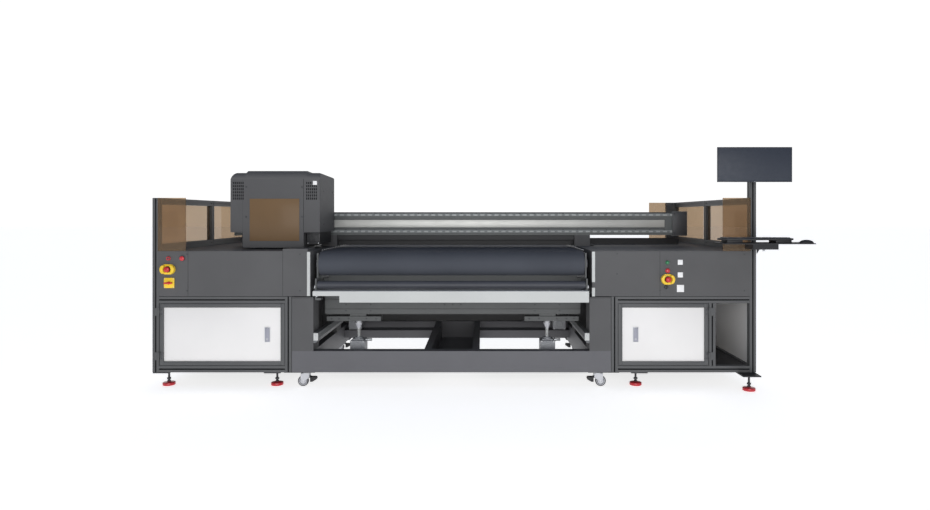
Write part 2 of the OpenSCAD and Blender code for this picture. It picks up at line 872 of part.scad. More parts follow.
// A mushroom head with a domed face
module stop_button(at) {
    color(red) in_frame() translate([at[0], 0, at[1]]) rotate([90, 0, 0]) {
        intersection() {
            translate([0, 0, 20]) cylinder(r = 20, h = 16);
            translate([0, 0, 36 - 45]) sphere(r = 45);
        }
        translate([0, 0, -22]) cylinder(r = stem_r, h = 43);
    }
}
module left_stop_button() { stop_button(left_stop_at); }
module right_stop_button() { stop_button(right_stop_at); }

module key_switch() {
    color(black) in_frame() {
        rod_y(key_at[0], key_at[1], 11.2, -12, -0.5);
        rod_y(key_at[0], key_at[1], stem_r, -4, 22);
        box([key_at[0] - 2.5, key_at[0] + 2.5], [-20, -11], [key_at[1] - 10, key_at[1] + 10]);
    }
}

module isolator_handle() {
    color(red) in_frame() {
        rod_y(isolator_at[0], isolator_at[1], 22, -14, -6.3);
        rod_y(isolator_at[0], isolator_at[1], stem_r, -10, 22);
        box([isolator_at[0] - 29, isolator_at[0] + 29], [-26, -13], [isolator_at[1] - 6, isolator_at[1] + 6]);
    }
}

// Places a caster so that its local X points away from the machine's middle
module at_caster(side, y) {
    in_frame() translate([side * caster_x, y, 0]) mirror([side < 0 ? 1 : 0, 0, 0]) children();
}

// Swivel fork with cheeks either side of the wheel and an ear for the pedal
module fork(side, y) {
    color(steel) at_caster(side, y) difference() {
        union() {
            translate([0, 0, 97]) cylinder(r = 30, h = plate_z - 97.3);
            for (s = [-1, 1]) {
                box([-22, caster_trail + 14], [s * 18.5 - 2.5, s * 18.5 + 2.5], [62, 98]);
                translate([caster_trail, s * 18.5 + 2.5, wheel_z]) rotate([90, 0, 0]) cylinder(r = 12, h = 5);
                box([caster_trail - 12, caster_trail + 12], [s * 18.5 - 2.5, s * 18.5 + 2.5], [wheel_z, 63]);
            }
            box([-22, caster_trail + 14], [-18, 18], [92, 98]);
            rod_y(caster_trail, wheel_z, axle_r, -24, 24);
        }
        rod_y(-18, 70, 3.05, -30, 30);
    }
}
module front_left_fork() { fork(-1, caster_front_y); }
module front_right_fork() { fork(1, caster_front_y); }
module rear_left_fork() { fork(-1, caster_rear_y); }
module rear_right_fork() { fork(1, caster_rear_y); }

module wheel(side, y) {
    color(dark) at_caster(side, y) difference() {
        rod_y(caster_trail, wheel_z, wheel_r, -wheel_w / 2, wheel_w / 2);
        rod_y(caster_trail, wheel_z, axle_r + 0.05, -wheel_w, wheel_w);
    }
}
module front_left_wheel() { wheel(-1, caster_front_y); }
module front_right_wheel() { wheel(1, caster_front_y); }
module rear_left_wheel() { wheel(-1, caster_rear_y); }
module rear_right_wheel() { wheel(1, caster_rear_y); }

// Brake pedal on a pin through the fork, reaching towards the machine's middle
module pedal(side, y) {
    color(black) at_caster(side, y) {
        rod_y(-18, 70, 3, -21, 21);
        box([-30, -17], [-14, 14], [64, 76]);
        translate([0, 19, 0]) rotate([90, 0, 0]) linear_extrude(38)
            polygon([[-72, 66], [-67, 72], [-26, 72], [-26, 36], [-42, 36], [-72, 54]]);
    }
}
module front_left_pedal() { pedal(-1, caster_front_y); }
module front_right_pedal() { pedal(1, caster_front_y); }
module rear_left_pedal() { pedal(-1, caster_rear_y); }
module rear_right_pedal() { pedal(1, caster_rear_y); }

// Flat monitor with a tilt shaft behind it
module monitor() {
    color(dark) in_frame() {
        box([monitor_x - monitor_w / 2, monitor_x + monitor_w / 2], [monitor_y - 35, monitor_y],
            [monitor_z - monitor_h / 2, monitor_z + monitor_h / 2]);
        rod_x(monitor_x - 21, monitor_x + 21, monitor_y + 55, monitor_z, 12);
        rod_x(monitor_x - 34, monitor_x + 34, monitor_y + 55, monitor_z, 6);
        box([monitor_x - 21, monitor_x + 21], [monitor_y - 1, monitor_y + 55],
            [monitor_z - 8, monitor_z + 8]);
    }
}

module keyboard_tray() {
    color(dark) in_frame() {
        box([tray_x, tray_x + tray_w], [tray_y, tray_y + tray_d], [tray_z, tray_z + 6]);
        box([pivot_x - 45, pivot_x + 45], [tray_y + tray_d - 60, pivot_y + 20], [tray_z - 5.7, tray_z]);
        translate([pivot_x, pivot_y, tray_z - 58]) cylinder(r = 8, h = 60);
    }
}

// Keyboard with rounded ends on two risers, and a mouse lying on the tray
module keyboard_and_mouse() {
    kb = [tray_x - 15, tray_x + 475];
    y = [tray_y + 10, tray_y + 155];
    low = tray_z + 6.2;
    z = [tray_z + 25, tray_z + 43];
    end_r = (y[1] - y[0]) / 2;
    color(black) in_frame() {
        box([kb[0] + end_r, kb[1] - end_r], y, z);
        for (x = [kb[0] + end_r, kb[1] - end_r])
            translate([x, (y[0] + y[1]) / 2, z[0]]) cylinder(r = end_r, h = z[1] - z[0]);
        for (x = [tray_x + 26, tray_x + 343])
            box([x, x + 103], [y[0] + 20, y[1] - 20], [low, z[0]]);
        translate([tray_x + 548, tray_y + 45, low]) intersection() {
            translate([0, 0, -35]) sphere(r = 57);
            box([-47.5, 47.5], [-29, 29], [0, 22]);
        }
    }
}

base_frame();
left_cabinet_frame();
right_cabinet_frame();
cabinet_shells();
column_covers();
side_screen_frames();
side_screen_panels();
cabinet_panels();
edge_strips();
door_hinges();
gantry_beam();
gantry_rails();
gantry_pillars();
cable_trough();
jack_housings();
roll_arms();
control_bezels();
label_plates();
levelling_feet();
mounting_plates();
workstation_arms();
carriage_cover();
carriage_chassis();
carriage_window();
print_heads();
conveyor_frame();
platen();
conveyor_belt();
front_drum();
rear_drum();
lower_roller();
front_bar();
jack_screws();
left_door();
right_door();
left_latch();
right_latch();
left_stop_button();
right_stop_button();
ring_button();
red_button();
green_button();
reset_button();
key_switch();
isolator_handle();
front_left_fork();
front_right_fork();
rear_left_fork();
rear_right_fork();
front_left_wheel();
front_right_wheel();
rear_left_wheel();
rear_right_wheel();
front_left_pedal();
front_right_pedal();
rear_left_pedal();
rear_right_pedal();
monitor();
keyboard_tray();
keyboard_and_mouse();
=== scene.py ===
"""Looks for the belt-fed hybrid UV printer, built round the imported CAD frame.

Sizes here are in millimetres of the machine's own layout: X from the middle of the belt, Y back
from the front of the base frame and Z up from the floor. at() turns them into the row frame.
"""

import math

import bmesh
import bpy
from mathutils import Matrix, Vector


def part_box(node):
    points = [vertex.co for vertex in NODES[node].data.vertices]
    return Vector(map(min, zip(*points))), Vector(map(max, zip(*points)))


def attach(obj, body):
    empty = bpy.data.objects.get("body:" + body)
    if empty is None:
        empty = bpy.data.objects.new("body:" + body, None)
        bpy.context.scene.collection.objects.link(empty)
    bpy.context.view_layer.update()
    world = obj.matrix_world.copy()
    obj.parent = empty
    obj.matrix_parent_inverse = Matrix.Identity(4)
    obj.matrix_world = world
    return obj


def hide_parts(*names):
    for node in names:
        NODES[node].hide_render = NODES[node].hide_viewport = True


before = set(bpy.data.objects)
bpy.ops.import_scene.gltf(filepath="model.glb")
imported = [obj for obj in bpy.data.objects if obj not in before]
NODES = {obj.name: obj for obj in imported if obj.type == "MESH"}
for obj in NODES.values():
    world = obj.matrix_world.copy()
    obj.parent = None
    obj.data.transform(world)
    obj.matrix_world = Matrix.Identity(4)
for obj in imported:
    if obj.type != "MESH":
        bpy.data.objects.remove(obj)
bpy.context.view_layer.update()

MM = 0.001
BELT_LOW, BELT_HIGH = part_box("conveyor_belt")
BASE_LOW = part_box("base_frame")[0]
ORIGIN = Vector(((BELT_LOW.x + BELT_HIGH.x) / 2, BASE_LOW.y, 0))


def at(x, y, z):
    """A point of the machine's own layout, in millimetres, as a point of the row frame."""
    return ORIGIN + Vector((x, y, z)) * MM


def limits(node):
    """A CAD node's low and high corners, in millimetres of the machine's own layout."""
    low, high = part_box(node)
    return (low - ORIGIN) / MM, (high - ORIGIN) / MM


# -------- materials

def new_material(name):
    """A node material, together with its node tree and its shader."""
    material = bpy.data.materials.new(name)
    material.use_nodes = True
    tree = material.node_tree
    shader = next(n for n in tree.nodes if n.type == "BSDF_PRINCIPLED")
    return material, tree, shader


def linear(colour):
    """Display colour, 0 to 255, to the linear values that shaders take."""
    return [(c / 255 / 12.92) if c < 10.3 else ((c / 255 + 0.055) / 1.055) ** 2.4 for c in colour]


def noise(tree, scale, detail=2.0, stretch=None):
    """Noise in object space, stretched along an axis for brushed or drawn metal."""
    coords = tree.nodes.new("ShaderNodeTexCoord")
    texture = tree.nodes.new("ShaderNodeTexNoise")
    texture.inputs["Scale"].default_value = scale
    texture.inputs["Detail"].default_value = detail
    if stretch:
        mapping = tree.nodes.new("ShaderNodeMapping")
        mapping.inputs["Scale"].default_value = stretch
        tree.links.new(coords.outputs["Object"], mapping.inputs["Vector"])
        tree.links.new(mapping.outputs["Vector"], texture.inputs["Vector"])
    else:
        tree.links.new(coords.outputs["Object"], texture.inputs["Vector"])
    return texture.outputs["Fac"]


def ramp(tree, value, low, high, start=0.3, end=0.7):
    """Maps values from start to end, where most noise lies, onto the range low to high."""
    node = tree.nodes.new("ShaderNodeMapRange")
    node.inputs["From Min"].default_value = start
    node.inputs["From Max"].default_value = end
    node.inputs["To Min"].default_value = low
    node.inputs["To Max"].default_value = high
    tree.links.new(value, node.inputs["Value"])
    return node.outputs["Result"]


def shades(tree, value, dark, light):
    """Blends two linear colours by a value."""
    node = tree.nodes.new("ShaderNodeMix")
    node.data_type = "RGBA"
    node.inputs["A"].default_value = (*dark, 1)
    node.inputs["B"].default_value = (*light, 1)
    tree.links.new(value, node.inputs["Factor"])
    return node.outputs["Result"]


def bump(tree, shader, height, strength, distance):
    """Lets a height value tilt the shader's normal."""
    node = tree.nodes.new("ShaderNodeBump")
    node.inputs["Strength"].default_value = strength
    node.inputs["Distance"].default_value = distance
    tree.links.new(height, node.inputs["Height"])
    tree.links.new(node.outputs["Normal"], shader.inputs["Normal"])


def finish_of(name, colour, roughness, spread=0.06, patch=3.0, grain=900.0, grain_depth=0.00012,
              metallic=0.0, stretch=None, coat=0.0, specular=0.5):
    """A surface with slow colour drift, a fine grain in its bump and an uneven gloss."""
    material, tree, shader = new_material(name)
    base = linear(colour)
    drift = ramp(tree, noise(tree, patch, 3.0), 0.0, 1.0)
    dark = [c * (1 - spread) for c in base]
    light = [min(1.0, c * (1 + spread)) for c in base]
    tree.links.new(shades(tree, drift, dark, light), shader.inputs["Base Color"])
    fine = noise(tree, grain, 2.0, stretch)
    tree.links.new(ramp(tree, fine, roughness - 0.05, roughness + 0.07), shader.inputs["Roughness"])
    bump(tree, shader, fine, 0.35, grain_depth)
    shader.inputs["Metallic"].default_value = metallic
    shader.inputs["Coat Weight"].default_value = coat
    shader.inputs["Coat Roughness"].default_value = 0.15
    shader.inputs["Specular IOR Level"].default_value = specular
    return material


def tinted_acrylic(name, colour, roughness, clear=0.82):
    """Smoky amber acrylic with faint wipe marks; clear is the share of light that passes."""
    material, tree, shader = new_material(name)
    base = linear(colour)
    drift = ramp(tree, noise(tree, 2.0, 3.0), 0.0, 1.0)
    tree.links.new(shades(tree, drift, [c * 0.94 for c in base], [c * 1.05 for c in base]),
                   shader.inputs["Base Color"])
    marks = noise(tree, 5.0, 2.0)
    tree.links.new(ramp(tree, marks, roughness, roughness + 0.03), shader.inputs["Roughness"])
    shader.inputs["Transmission Weight"].default_value = clear
    shader.inputs["IOR"].default_value = 1.2
    return material


def belt_rubber(name, colour):
    """Fine woven print belt: two crossed bands of threads, nearly without sheen."""
    material, tree, shader = new_material(name)
    base = linear(colour)
    coords = tree.nodes.new("ShaderNodeTexCoord")
    threads = []
    for axis in ("X", "Y"):
        wave = tree.nodes.new("ShaderNodeTexWave")
        wave.bands_direction = axis
        wave.inputs["Scale"].default_value = 160.0
        wave.inputs["Distortion"].default_value = 0.4
        tree.links.new(coords.outputs["Object"], wave.inputs["Vector"])
        threads.append(wave.outputs["Fac"])
    weave = tree.nodes.new("ShaderNodeMath")
    weave.operation = "MULTIPLY"
    tree.links.new(threads[0], weave.inputs[0])
    tree.links.new(threads[1], weave.inputs[1])
    drift = ramp(tree, noise(tree, 1.6, 4.0), 0.0, 1.0)
    tree.links.new(shades(tree, drift, [c * 0.9 for c in base], [c * 1.1 for c in base]),
                   shader.inputs["Base Color"])
    tree.links.new(ramp(tree, noise(tree, 60.0), 0.6, 0.75), shader.inputs["Roughness"])
    bump(tree, shader, weave.outputs["Value"], 0.25, 0.0003)
    shader.inputs["Specular IOR Level"].default_value = 0.05
    return material


MATERIALS = {
    "paint": finish_of("powder_grey", (91, 91, 92), 0.6, specular=0.25),
    "profile": finish_of("profile_grey", (83, 84, 85), 0.5, stretch=(0.1, 0.1, 1.0)),
    "beam_paint": finish_of("base_frame_grey", (96, 96, 100), 0.5),
    "beam_grey": finish_of("beam_grey", (94, 98, 98), 0.46, stretch=(0.1, 1.0, 1.0)),
    "lift_grey": finish_of("lift_frame_grey", (84, 86, 86), 0.48),
    "rail_gap": finish_of("rail_plug", (116, 120, 120), 0.45),
    "rail": finish_of("rail_steel", (158, 162, 162), 0.42, metallic=0.2, grain=300.0,
                      stretch=(0.04, 1.0, 1.0)),
    "arm_grey": finish_of("roll_arm_grey", (104, 106, 108), 0.5),
    # Near-black: painted shade in vents, grooves and T-slot floors, and also the real dark seams between
    # sheets.
    "slot_shade_and_seam": finish_of("slot_shade_and_seam", (22, 23, 25), 0.7, specular=0.1),
    "dark": finish_of("dark_metal", (62, 63, 66), 0.45),
    "near_black": finish_of("near_black", (38, 39, 42), 0.5),
    "white": finish_of("white_sheet", (240, 238, 236), 0.4, spread=0.02),
    "strip": finish_of("pale_strip", (197, 199, 197), 0.4, spread=0.03),
    "light_metal": finish_of("mill_aluminium", (205, 206, 204), 0.34, metallic=0.55,
                             grain=260.0, stretch=(0.05, 1.0, 1.0)),
    "band": finish_of("beam_band", (205, 205, 200), 0.4, metallic=0.35, grain=300.0,
                      stretch=(0.04, 1.0, 1.0)),
    "steel": finish_of("ground_steel", (178, 180, 183), 0.28, metallic=0.9, grain=500.0),
    "zinc": finish_of("zinc_bolt", (196, 197, 199), 0.3, metallic=0.85, grain=700.0),
    "cast": finish_of("cast_housing", (158, 160, 164), 0.4, metallic=0.3, grain=350.0,
                      grain_depth=0.0004),
    "amber": tinted_acrylic("amber_acrylic", (182, 158, 131), 0.0),
    "window": tinted_acrylic("amber_window", (132, 107, 80), 0.2, clear=0.15),
    "belt": belt_rubber("print_belt", (80, 83, 90)),
    "rubber": finish_of("roller_rubber", (74, 76, 83), 0.48, grain=600.0),
    "tyre": finish_of("tyre_rubber", (66, 67, 70), 0.6, grain=500.0),
    "hub": finish_of("hub_plastic", (206, 207, 212), 0.4, spread=0.03),
    "black_plastic": finish_of("black_plastic", (36, 36, 38), 0.5, grain=1400.0),
    "blue_black": finish_of("blue_black_plastic", (40, 45, 56), 0.32, grain=1400.0, coat=0.2),
    "red": finish_of("red_plastic", (200, 40, 44), 0.34, grain=1500.0, coat=0.2),
    "lamp_red": finish_of("red_lens", (204, 46, 56), 0.26, grain=1500.0, coat=0.3),
    "foot_red": finish_of("foot_red", (196, 34, 48), 0.32, grain=900.0, coat=0.3),
    "yellow": finish_of("yellow_plastic", (246, 206, 38), 0.34, grain=1500.0, coat=0.2),
    "green": finish_of("green_lens", (46, 126, 82), 0.28, grain=1500.0, coat=0.3),
    "latch_grey": finish_of("latch_grey", (160, 161, 173), 0.4, spread=0.03),
    "label": finish_of("blank_label", (240, 240, 240), 0.3, spread=0.015, grain=1500.0),
    "screen": finish_of("screen_glass", (44, 50, 62), 0.5, spread=0.04, grain=40.0,
                        grain_depth=0.00001),
}


def coat_node(node, material, edge):
    """Gives a CAD node its material, and eases its edges by a width in millimetres."""
    obj = NODES[node]
    obj.data.materials.clear()
    obj.data.materials.append(MATERIALS[material])
    if edge:
        bevel = obj.modifiers.new("edge", "BEVEL")
        bevel.width = edge * MM
        bevel.segments = 2
        bevel.limit_method = "ANGLE"
        bevel.angle_limit = math.radians(40)
        bevel.harden_normals = True


# -------- mesh making

def join_rings(part, rings):
    """Makes the faces between each closed ring of points and the next one."""
    for a, b in zip(rings, rings[1:]):
        for i in range(len(a)):
            j = (i + 1) % len(a)
            part.faces.new((a[i], a[j], b[j], b[i]))


class Shape:
    """One piece, gathered from bevelled boxes, bored blocks, turned profiles and outlines.

    Each part of it names its material by a key of MATERIALS.
    """

    def __init__(self, name):
        self.name = name
        self.bm = bmesh.new()
        self.materials = []

    def _index(self, material):
        if material not in self.materials:
            self.materials.append(material)
        return self.materials.index(material)

    def absorb(self, part, material):
        """Adds a finished mesh to the piece."""
        index = self._index(material)
        for face in part.faces:
            face.material_index = index
        mesh = bpy.data.meshes.new("part")
        part.to_mesh(mesh)
        part.free()
        self.bm.from_mesh(mesh)
        bpy.data.meshes.remove(mesh)

    def box(self, x, y, z, material, bevel=1.0, segments=2):
        """A box between limits on each axis, in millimetres, with rounded edges."""
        part = bmesh.new()
        bmesh.ops.create_cube(part, size=1.0)
        size = Vector((x[1] - x[0], y[1] - y[0], z[1] - z[0])) * MM
        centre = at((x[0] + x[1]) / 2, (y[0] + y[1]) / 2, (z[0] + z[1]) / 2)
        bmesh.ops.transform(part, matrix=Matrix.Translation(centre) @ Matrix.Diagonal((*size, 1)),
                            verts=part.verts)
        width = min(bevel * MM, min(size) * 0.45)
        if width > 0:
            bmesh.ops.bevel(part, geom=part.edges[:], offset=width, segments=segments,
                            profile=0.5, affect="EDGES")
        self.absorb(part, material)

    def turned(self, centre, axis, profile, material, steps=40):
        """A profile of (radius, distance along axis) pairs, turned about an axis."""
        part = bmesh.new()
        verts = [part.verts.new((r * MM, 0, h * MM)) for r, h in profile]
        for a, b in zip(verts, verts[1:]):
            part.edges.new((a, b))
        bmesh.ops.spin(part, geom=part.verts[:] + part.edges[:], cent=(0, 0, 0), axis=(0, 0, 1),
                       angle=math.tau, steps=steps, use_merge=True)
        bmesh.ops.remove_doubles(part, verts=part.verts, dist=1e-6)
        bmesh.ops.recalc_face_normals(part, faces=part.faces)
        turn = Vector((0, 0, 1)).rotation_difference(Vector(axis)).to_matrix().to_4x4()
        bmesh.ops.transform(part, matrix=Matrix.Translation(centre) @ turn, verts=part.verts)
        self.absorb(part, material)

    def bored_block(self, x, y, half, z0, z1, bore, material, ease, steps=48):
        """A square block with eased edges and a round bore through it along Z."""
        part = bmesh.new()
        rings = []
        levels = ((False, bore, z0), (True, half - ease, z0), (True, half, z0 + ease),
                  (True, half, z1 - ease), (True, half - ease, z1), (False, bore, z1))
        for square, size, z in levels:
            ring = []
            for i in range(steps):
                c, s = math.cos(math.tau * i / steps), math.sin(math.tau * i / steps)
                reach = size / max(abs(c), abs(s)) if square else size
                ring.append(part.verts.new(at(x + reach * c, y + reach * s, z)))
            rings.append(ring)
        join_rings(part, rings + rings[:1])
        bmesh.ops.recalc_face_normals(part, faces=part.faces)
        self.absorb(part, material)

    def rod(self, centre, axis, radius, low, high, material, chamfer=0.6, steps=40):
        """A solid round bar with chamfered ends, from low to high along its axis."""
        c = min(chamfer, radius * 0.4, (high - low) * 0.3)
        profile = [(0, low), (radius - c, low), (radius, low + c),
                   (radius, high - c), (radius - c, high), (0, high)]
        self.turned(centre, axis, profile, material, steps)

    def screws(self, points, axis, radius, head, material):
        """A screw head at each point: a low drum with a round recess in its middle."""
        profile = [(0, head * 0.45), (radius * 0.5, head * 0.45), (radius * 0.58, head),
                   (radius * 0.88, head), (radius, head * 0.8), (radius, -0.4), (0, -0.4)]
        for point in points:
            self.turned(point, axis, profile, material, 16)

    def outline(self, points, plane, low, high, material, bevel=0.0, segments=2):
        """A closed outline drawn in plane "xz", "yz" or "xy" and given thickness."""
        place = {"xz": lambda a, b, c: at(a, c, b), "yz": lambda a, b, c: at(c, a, b),
                 "xy": lambda a, b, c: at(a, b, c)}[plane]
        part = bmesh.new()
        ring = [part.verts.new(place(a, b, low)) for a, b in points]
        face = part.faces.new(ring)
        out = bmesh.ops.extrude_face_region(part, geom=[face])
        shift = place(0, 0, high) - place(0, 0, low)
        moved = [g for g in out["geom"] if isinstance(g, bmesh.types.BMVert)]
        bmesh.ops.translate(part, vec=shift, verts=moved)
        bmesh.ops.recalc_face_normals(part, faces=part.faces)
        if bevel:
            bmesh.ops.bevel(part, geom=part.edges[:], offset=bevel * MM, segments=segments,
                            profile=0.5, affect="EDGES")
        self.absorb(part, material)

    def done(self, body, slot, *replaced, angle=35):
        """Makes the object, lets it ride on its body and hides the CAD nodes that it stands for."""
        mesh = bpy.data.meshes.new(self.name)
        self.bm.to_mesh(mesh)
        self.bm.free()
        for material in self.materials:
            mesh.materials.append(MATERIALS[material])
        mesh.shade_smooth()
        mesh.set_sharp_from_angle(angle=math.radians(angle))
        obj = bpy.data.objects.new(self.name, mesh)
        bpy.context.scene.collection.objects.link(obj)
        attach(obj, body)
        if replaced:
            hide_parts(*replaced)
        return obj


def arc(cx, cy, r, a0, a1, steps=8):
    """Points on a circular arc, angles in degrees."""
    angles = [math.radians(a0 + (a1 - a0) * i / steps) for i in range(steps + 1)]
    return [(cx + r * math.cos(angle), cy + r * math.sin(angle)) for angle in angles]


def spread(first, last, count):
    """Evenly spaced places from first to last."""
    return [first + i * (last - first) / (count - 1) for i in range(count)]


def grid(xs, ys, zs):
    """Points of the layout at every mix of the given places."""
    return [at(x, y, z) for x in xs for y in ys for z in zs]


def both_sides(*places):
    """The places, and their mirror images about the middle."""
    return [side * place for side in (-1, 1) for place in places]


def mirrored(side, a, b, about=0):
    """The limits a and b on one side, 1 or -1, of a middle plane, the lower one first."""
    return tuple(sorted((about + side * a, about + side * b)))


# -------- CAD nodes that stay

FRONT = (0, -1, 0)
BACK = (0, 1, 0)
RIGHT = (1, 0, 0)
UP = (0, 0, 1)

# node: (material, width of the eased edges)
CAD_LOOKS = {
    "left_cabinet_frame": ("profile", 1.5),
    "right_cabinet_frame": ("profile", 1.5),
    "side_screen_frames": ("profile", 1.5),
    "cabinet_shells": ("paint", 1.0),
    "column_covers": ("paint", 1.0),
    "gantry_pillars": ("paint", 1.0),
    "base_frame": ("beam_paint", 6),
    "side_screen_panels": ("amber", 0.8),
    "cabinet_panels": ("white", 0),
    "edge_strips": ("strip", 1.5),
    "door_hinges": ("profile", 0.6),
    "gantry_beam": ("beam_grey", 3),
    "cable_trough": ("near_black", 0),
    "jack_screws": ("hub", 0),
    "roll_arms": ("arm_grey", 2),
    # painted shade: the cabinet floor sheets are near-black for the deep shade in the bays
    "mounting_plates": ("near_black", 1),
    "workstation_arms": ("near_black", 2),
    "carriage_chassis": ("light_metal", 1),
    "print_heads": ("black_plastic", 2),
    "conveyor_frame": ("lift_grey", 1.5),
    "platen": ("dark", 0),
    "conveyor_belt": ("belt", 0),
    "front_drum": ("steel", 0),
    "rear_drum": ("steel", 0),
    "lower_roller": ("rubber", 0),
    "front_bar": ("strip", 1),
}

LEFT_FRAME_LOW, LEFT_FRAME_HIGH = limits("left_cabinet_frame")
RIGHT_FRAME_LOW, RIGHT_FRAME_HIGH = limits("right_cabinet_frame")
LEFT_OUTER, LEFT_INNER = LEFT_FRAME_LOW.x, LEFT_FRAME_HIGH.x
RIGHT_INNER, RIGHT_OUTER = RIGHT_FRAME_LOW.x, RIGHT_FRAME_HIGH.x
POST = 45           # width of the slotted profile
OPEN_BAY_X = 1804   # post between the right door and the open bay


# -------- gantry

BEAM_LOW, BEAM_HIGH = limits("gantry_beam")
RAILS_LOW, RAILS_HIGH = limits("gantry_rails")
RAIL_LEFT, RAIL_RIGHT = RAILS_LOW.x + 1, RAILS_HIGH.x
BEAM_FRONT = RAILS_HIGH.y
RAIL_HEIGHT = 20
RAIL_BOLTS = 62
JOINT_SCREWS = 30


def gantry_rails():
    """The two dovetail guide rails, each with a row of plugged bolt holes."""
    front = BEAM_FRONT
    rails = Shape("gantry_rail_pair")
    for z in (RAILS_LOW.z, RAILS_HIGH.z - RAIL_HEIGHT):
        section = [(front, z + 1), (front - 6, z + 1), (front - 8, z + 5), (front - 14.5, z + 3),
                   (front - 14.5, z + 17), (front - 8, z + 15), (front - 6, z + 19), (front, z + 19)]
        rails.outline(section, "yz", RAIL_LEFT, RAIL_RIGHT, "rail")
        for x in spread(RAIL_LEFT + 30, RAIL_RIGHT - 30, RAIL_BOLTS):
            rails.box((x - 12, x + 12), (front - 15, front - 14), (z + 4.5, z + 15.5), "rail_gap", 0.4)
    rails.done("frame", "light_metal", "gantry_rails")


def gantry_band():
    """The bright band between the rails, its dark borders, and a near-black strip of painted shade for the
    groove near the beam's top.
    """
    band = Shape("gantry_band")
    along = (RAIL_LEFT, RAIL_RIGHT - 59)
    band_low, band_high = BEAM_LOW.z + 68, BEAM_LOW.z + 130
    band.box(along, (BEAM_FRONT - 4, BEAM_FRONT - 0.5), (band_low, band_high), "band", 1.0)
    for z in (band_low - 6, band_high + 2):
        band.box(along, (BEAM_FRONT - 6, BEAM_FRONT - 0.5), (z, z + 3.5), "dark", 0.8)
    # near-black strip: painted shade standing for the groove near the beam's top
    band.box((RAIL_LEFT, RAIL_RIGHT), (BEAM_FRONT - 1, BEAM_FRONT - 0.1),
             (BEAM_HIGH.z - 12, BEAM_HIGH.z - 8), "slot_shade_and_seam", 0.2)
    band.done("frame", "light_metal")


def gantry_end_cover():
    """The cover plate on the beam's right end, with a screw in each corner."""
    face = BEAM_FRONT - 13
    cover = Shape("gantry_end_cover")
    cover.box((RAIL_RIGHT + 3, BEAM_HIGH.x - 1), (face, face + 1.5),
              (BEAM_LOW.z + 3, BEAM_HIGH.z - 3), "dark", 0.6)
    corners = grid((RAIL_RIGHT + 18, BEAM_HIGH.x - 18), [face], (BEAM_LOW.z + 20, BEAM_HIGH.z - 20))
    cover.screws(corners, FRONT, 5, 2.5, "near_black")
    cover.done("frame", "dark_metal")


def gantry_joint_screws():
    """Two rows of screws along the beam's face."""
    rows = Shape("gantry_joint_screws")
    along = spread(RAIL_LEFT + 60, RAIL_RIGHT - 60, JOINT_SCREWS)
    rows.screws(grid(along, [BEAM_FRONT - 0.2], (BEAM_LOW.z + 50, BEAM_HIGH.z - 16)), FRONT, 4.5, 3.0,
                "dark")
    rows.done("frame", "steel")


# -------- carriage

COVER_LOW, COVER_HIGH = limits("carriage_cover")
COVER_WIDTH = COVER_HIGH.x - COVER_LOW.x
WING_Z = 1092         # underside of the cover's two wings
LEFT_WING = 90
RIGHT_WING = 119
SHOULDER_DROP = 15    # from the plateau down to the shoulders on both sides
EDGE_ROUNDING = 60.0  # of the top edge at the front
BACK_DROP = 16        # how far the top slopes down towards the back
SLOPE_DEPTH = 75      # only this much of the cover's height follows the rounding
LOUVRES_X = (19, 559)
LOUVRES_Z = 1333


def cover_outline():
    """Front view of the cover from its left edge: a body between wings, and a plateau on top."""
    w = COVER_WIDTH
    top, bottom = COVER_HIGH.z, COVER_LOW.z
    shoulder = top - SHOULDER_DROP
    underside = [(0, WING_Z), (LEFT_WING, WING_Z), (LEFT_WING, bottom),
                 (w - RIGHT_WING, bottom), (w - RIGHT_WING, WING_Z), (w, WING_Z)]
    plateau = [(w - 94, shoulder), (w - 106, top - 0.5), (115, top - 0.5), (103, shoulder)]
    return (underside + arc(w - 16, shoulder - 16, 15.5, 0, 90, 4) + plateau
            + arc(34, shoulder - 34, 33.5, 90, 180, 7))


def cover_skin():
    """The outline swept from front to back, drawn down round the front edge of the top."""
    front, top = COVER_LOW.y, COVER_HIGH.z
    slope_from = top - SLOPE_DEPTH
    stations = [(front + EDGE_ROUNDING * (1 - math.cos(math.radians(a))),
                 EDGE_ROUNDING * (1 - math.sin(math.radians(a)))) for a in range(0, 91, 10)]
    stations.append((COVER_HIGH.y, BACK_DROP))
    outline = cover_outline()
    part = bmesh.new()
    rings = []
    for y, drop in stations:
        ring = []
        for u, z in outline:
            share = max(0.0, (z - slope_from) / (top - slope_from))
            ring.append(part.verts.new(at(COVER_LOW.x + u, y, z - drop * share)))
        rings.append(ring)
    join_rings(part, rings)
    part.faces.new(rings[0])
    part.faces.new(list(reversed(rings[-1])))
    bmesh.ops.recalc_face_normals(part, faces=part.faces)
    return part


def carriage_shell():
    """The folded cover with its two seams, and two fields of louvres drawn as near-black slots of painted
    shade.
    """
    left, front, top = COVER_LOW.x, COVER_LOW.y, COVER_HIGH.z
    seam_z = (WING_Z, top - 62)
    cover = Shape("carriage_shell")
    cover.absorb(cover_skin(), "paint")
    seam_x = left + COVER_WIDTH - RIGHT_WING
    cover.box((seam_x - 1.2, seam_x + 1.2), (front - 0.4, front + 4), seam_z, "slot_shade_and_seam", 0.3)
    seam_x = left + LEFT_WING
    cover.box((seam_x - 1, seam_x + 1), (front - 0.3, front + 4), seam_z, "dark", 0.3)
    # the louvre openings are near-black patches of painted shade on the closed skin
    for field_x in LOUVRES_X:
        for column in range(6):
            for row in range(6):
                x, z = left + field_x + column * 14, LOUVRES_Z + row * 23
                cover.box((x, x + 8), (front - 0.5, front + 2), (z, z + 16), "slot_shade_and_seam", 0.3)
    cover.done("carriage", "grey_paint", "carriage_cover")


def carriage_window():
    """The tinted pane in the front of the cover."""
    low, high = limits("carriage_window")
    pane = Shape("carriage_window_pane")
    pane.box((low.x + 6, high.x - 6), (COVER_LOW.y - 2.4, COVER_LOW.y - 0.2),
             (low.z + 5, high.z - 5), "window", 1.0)
    pane.done("carriage", "amber_acrylic", "carriage_window")


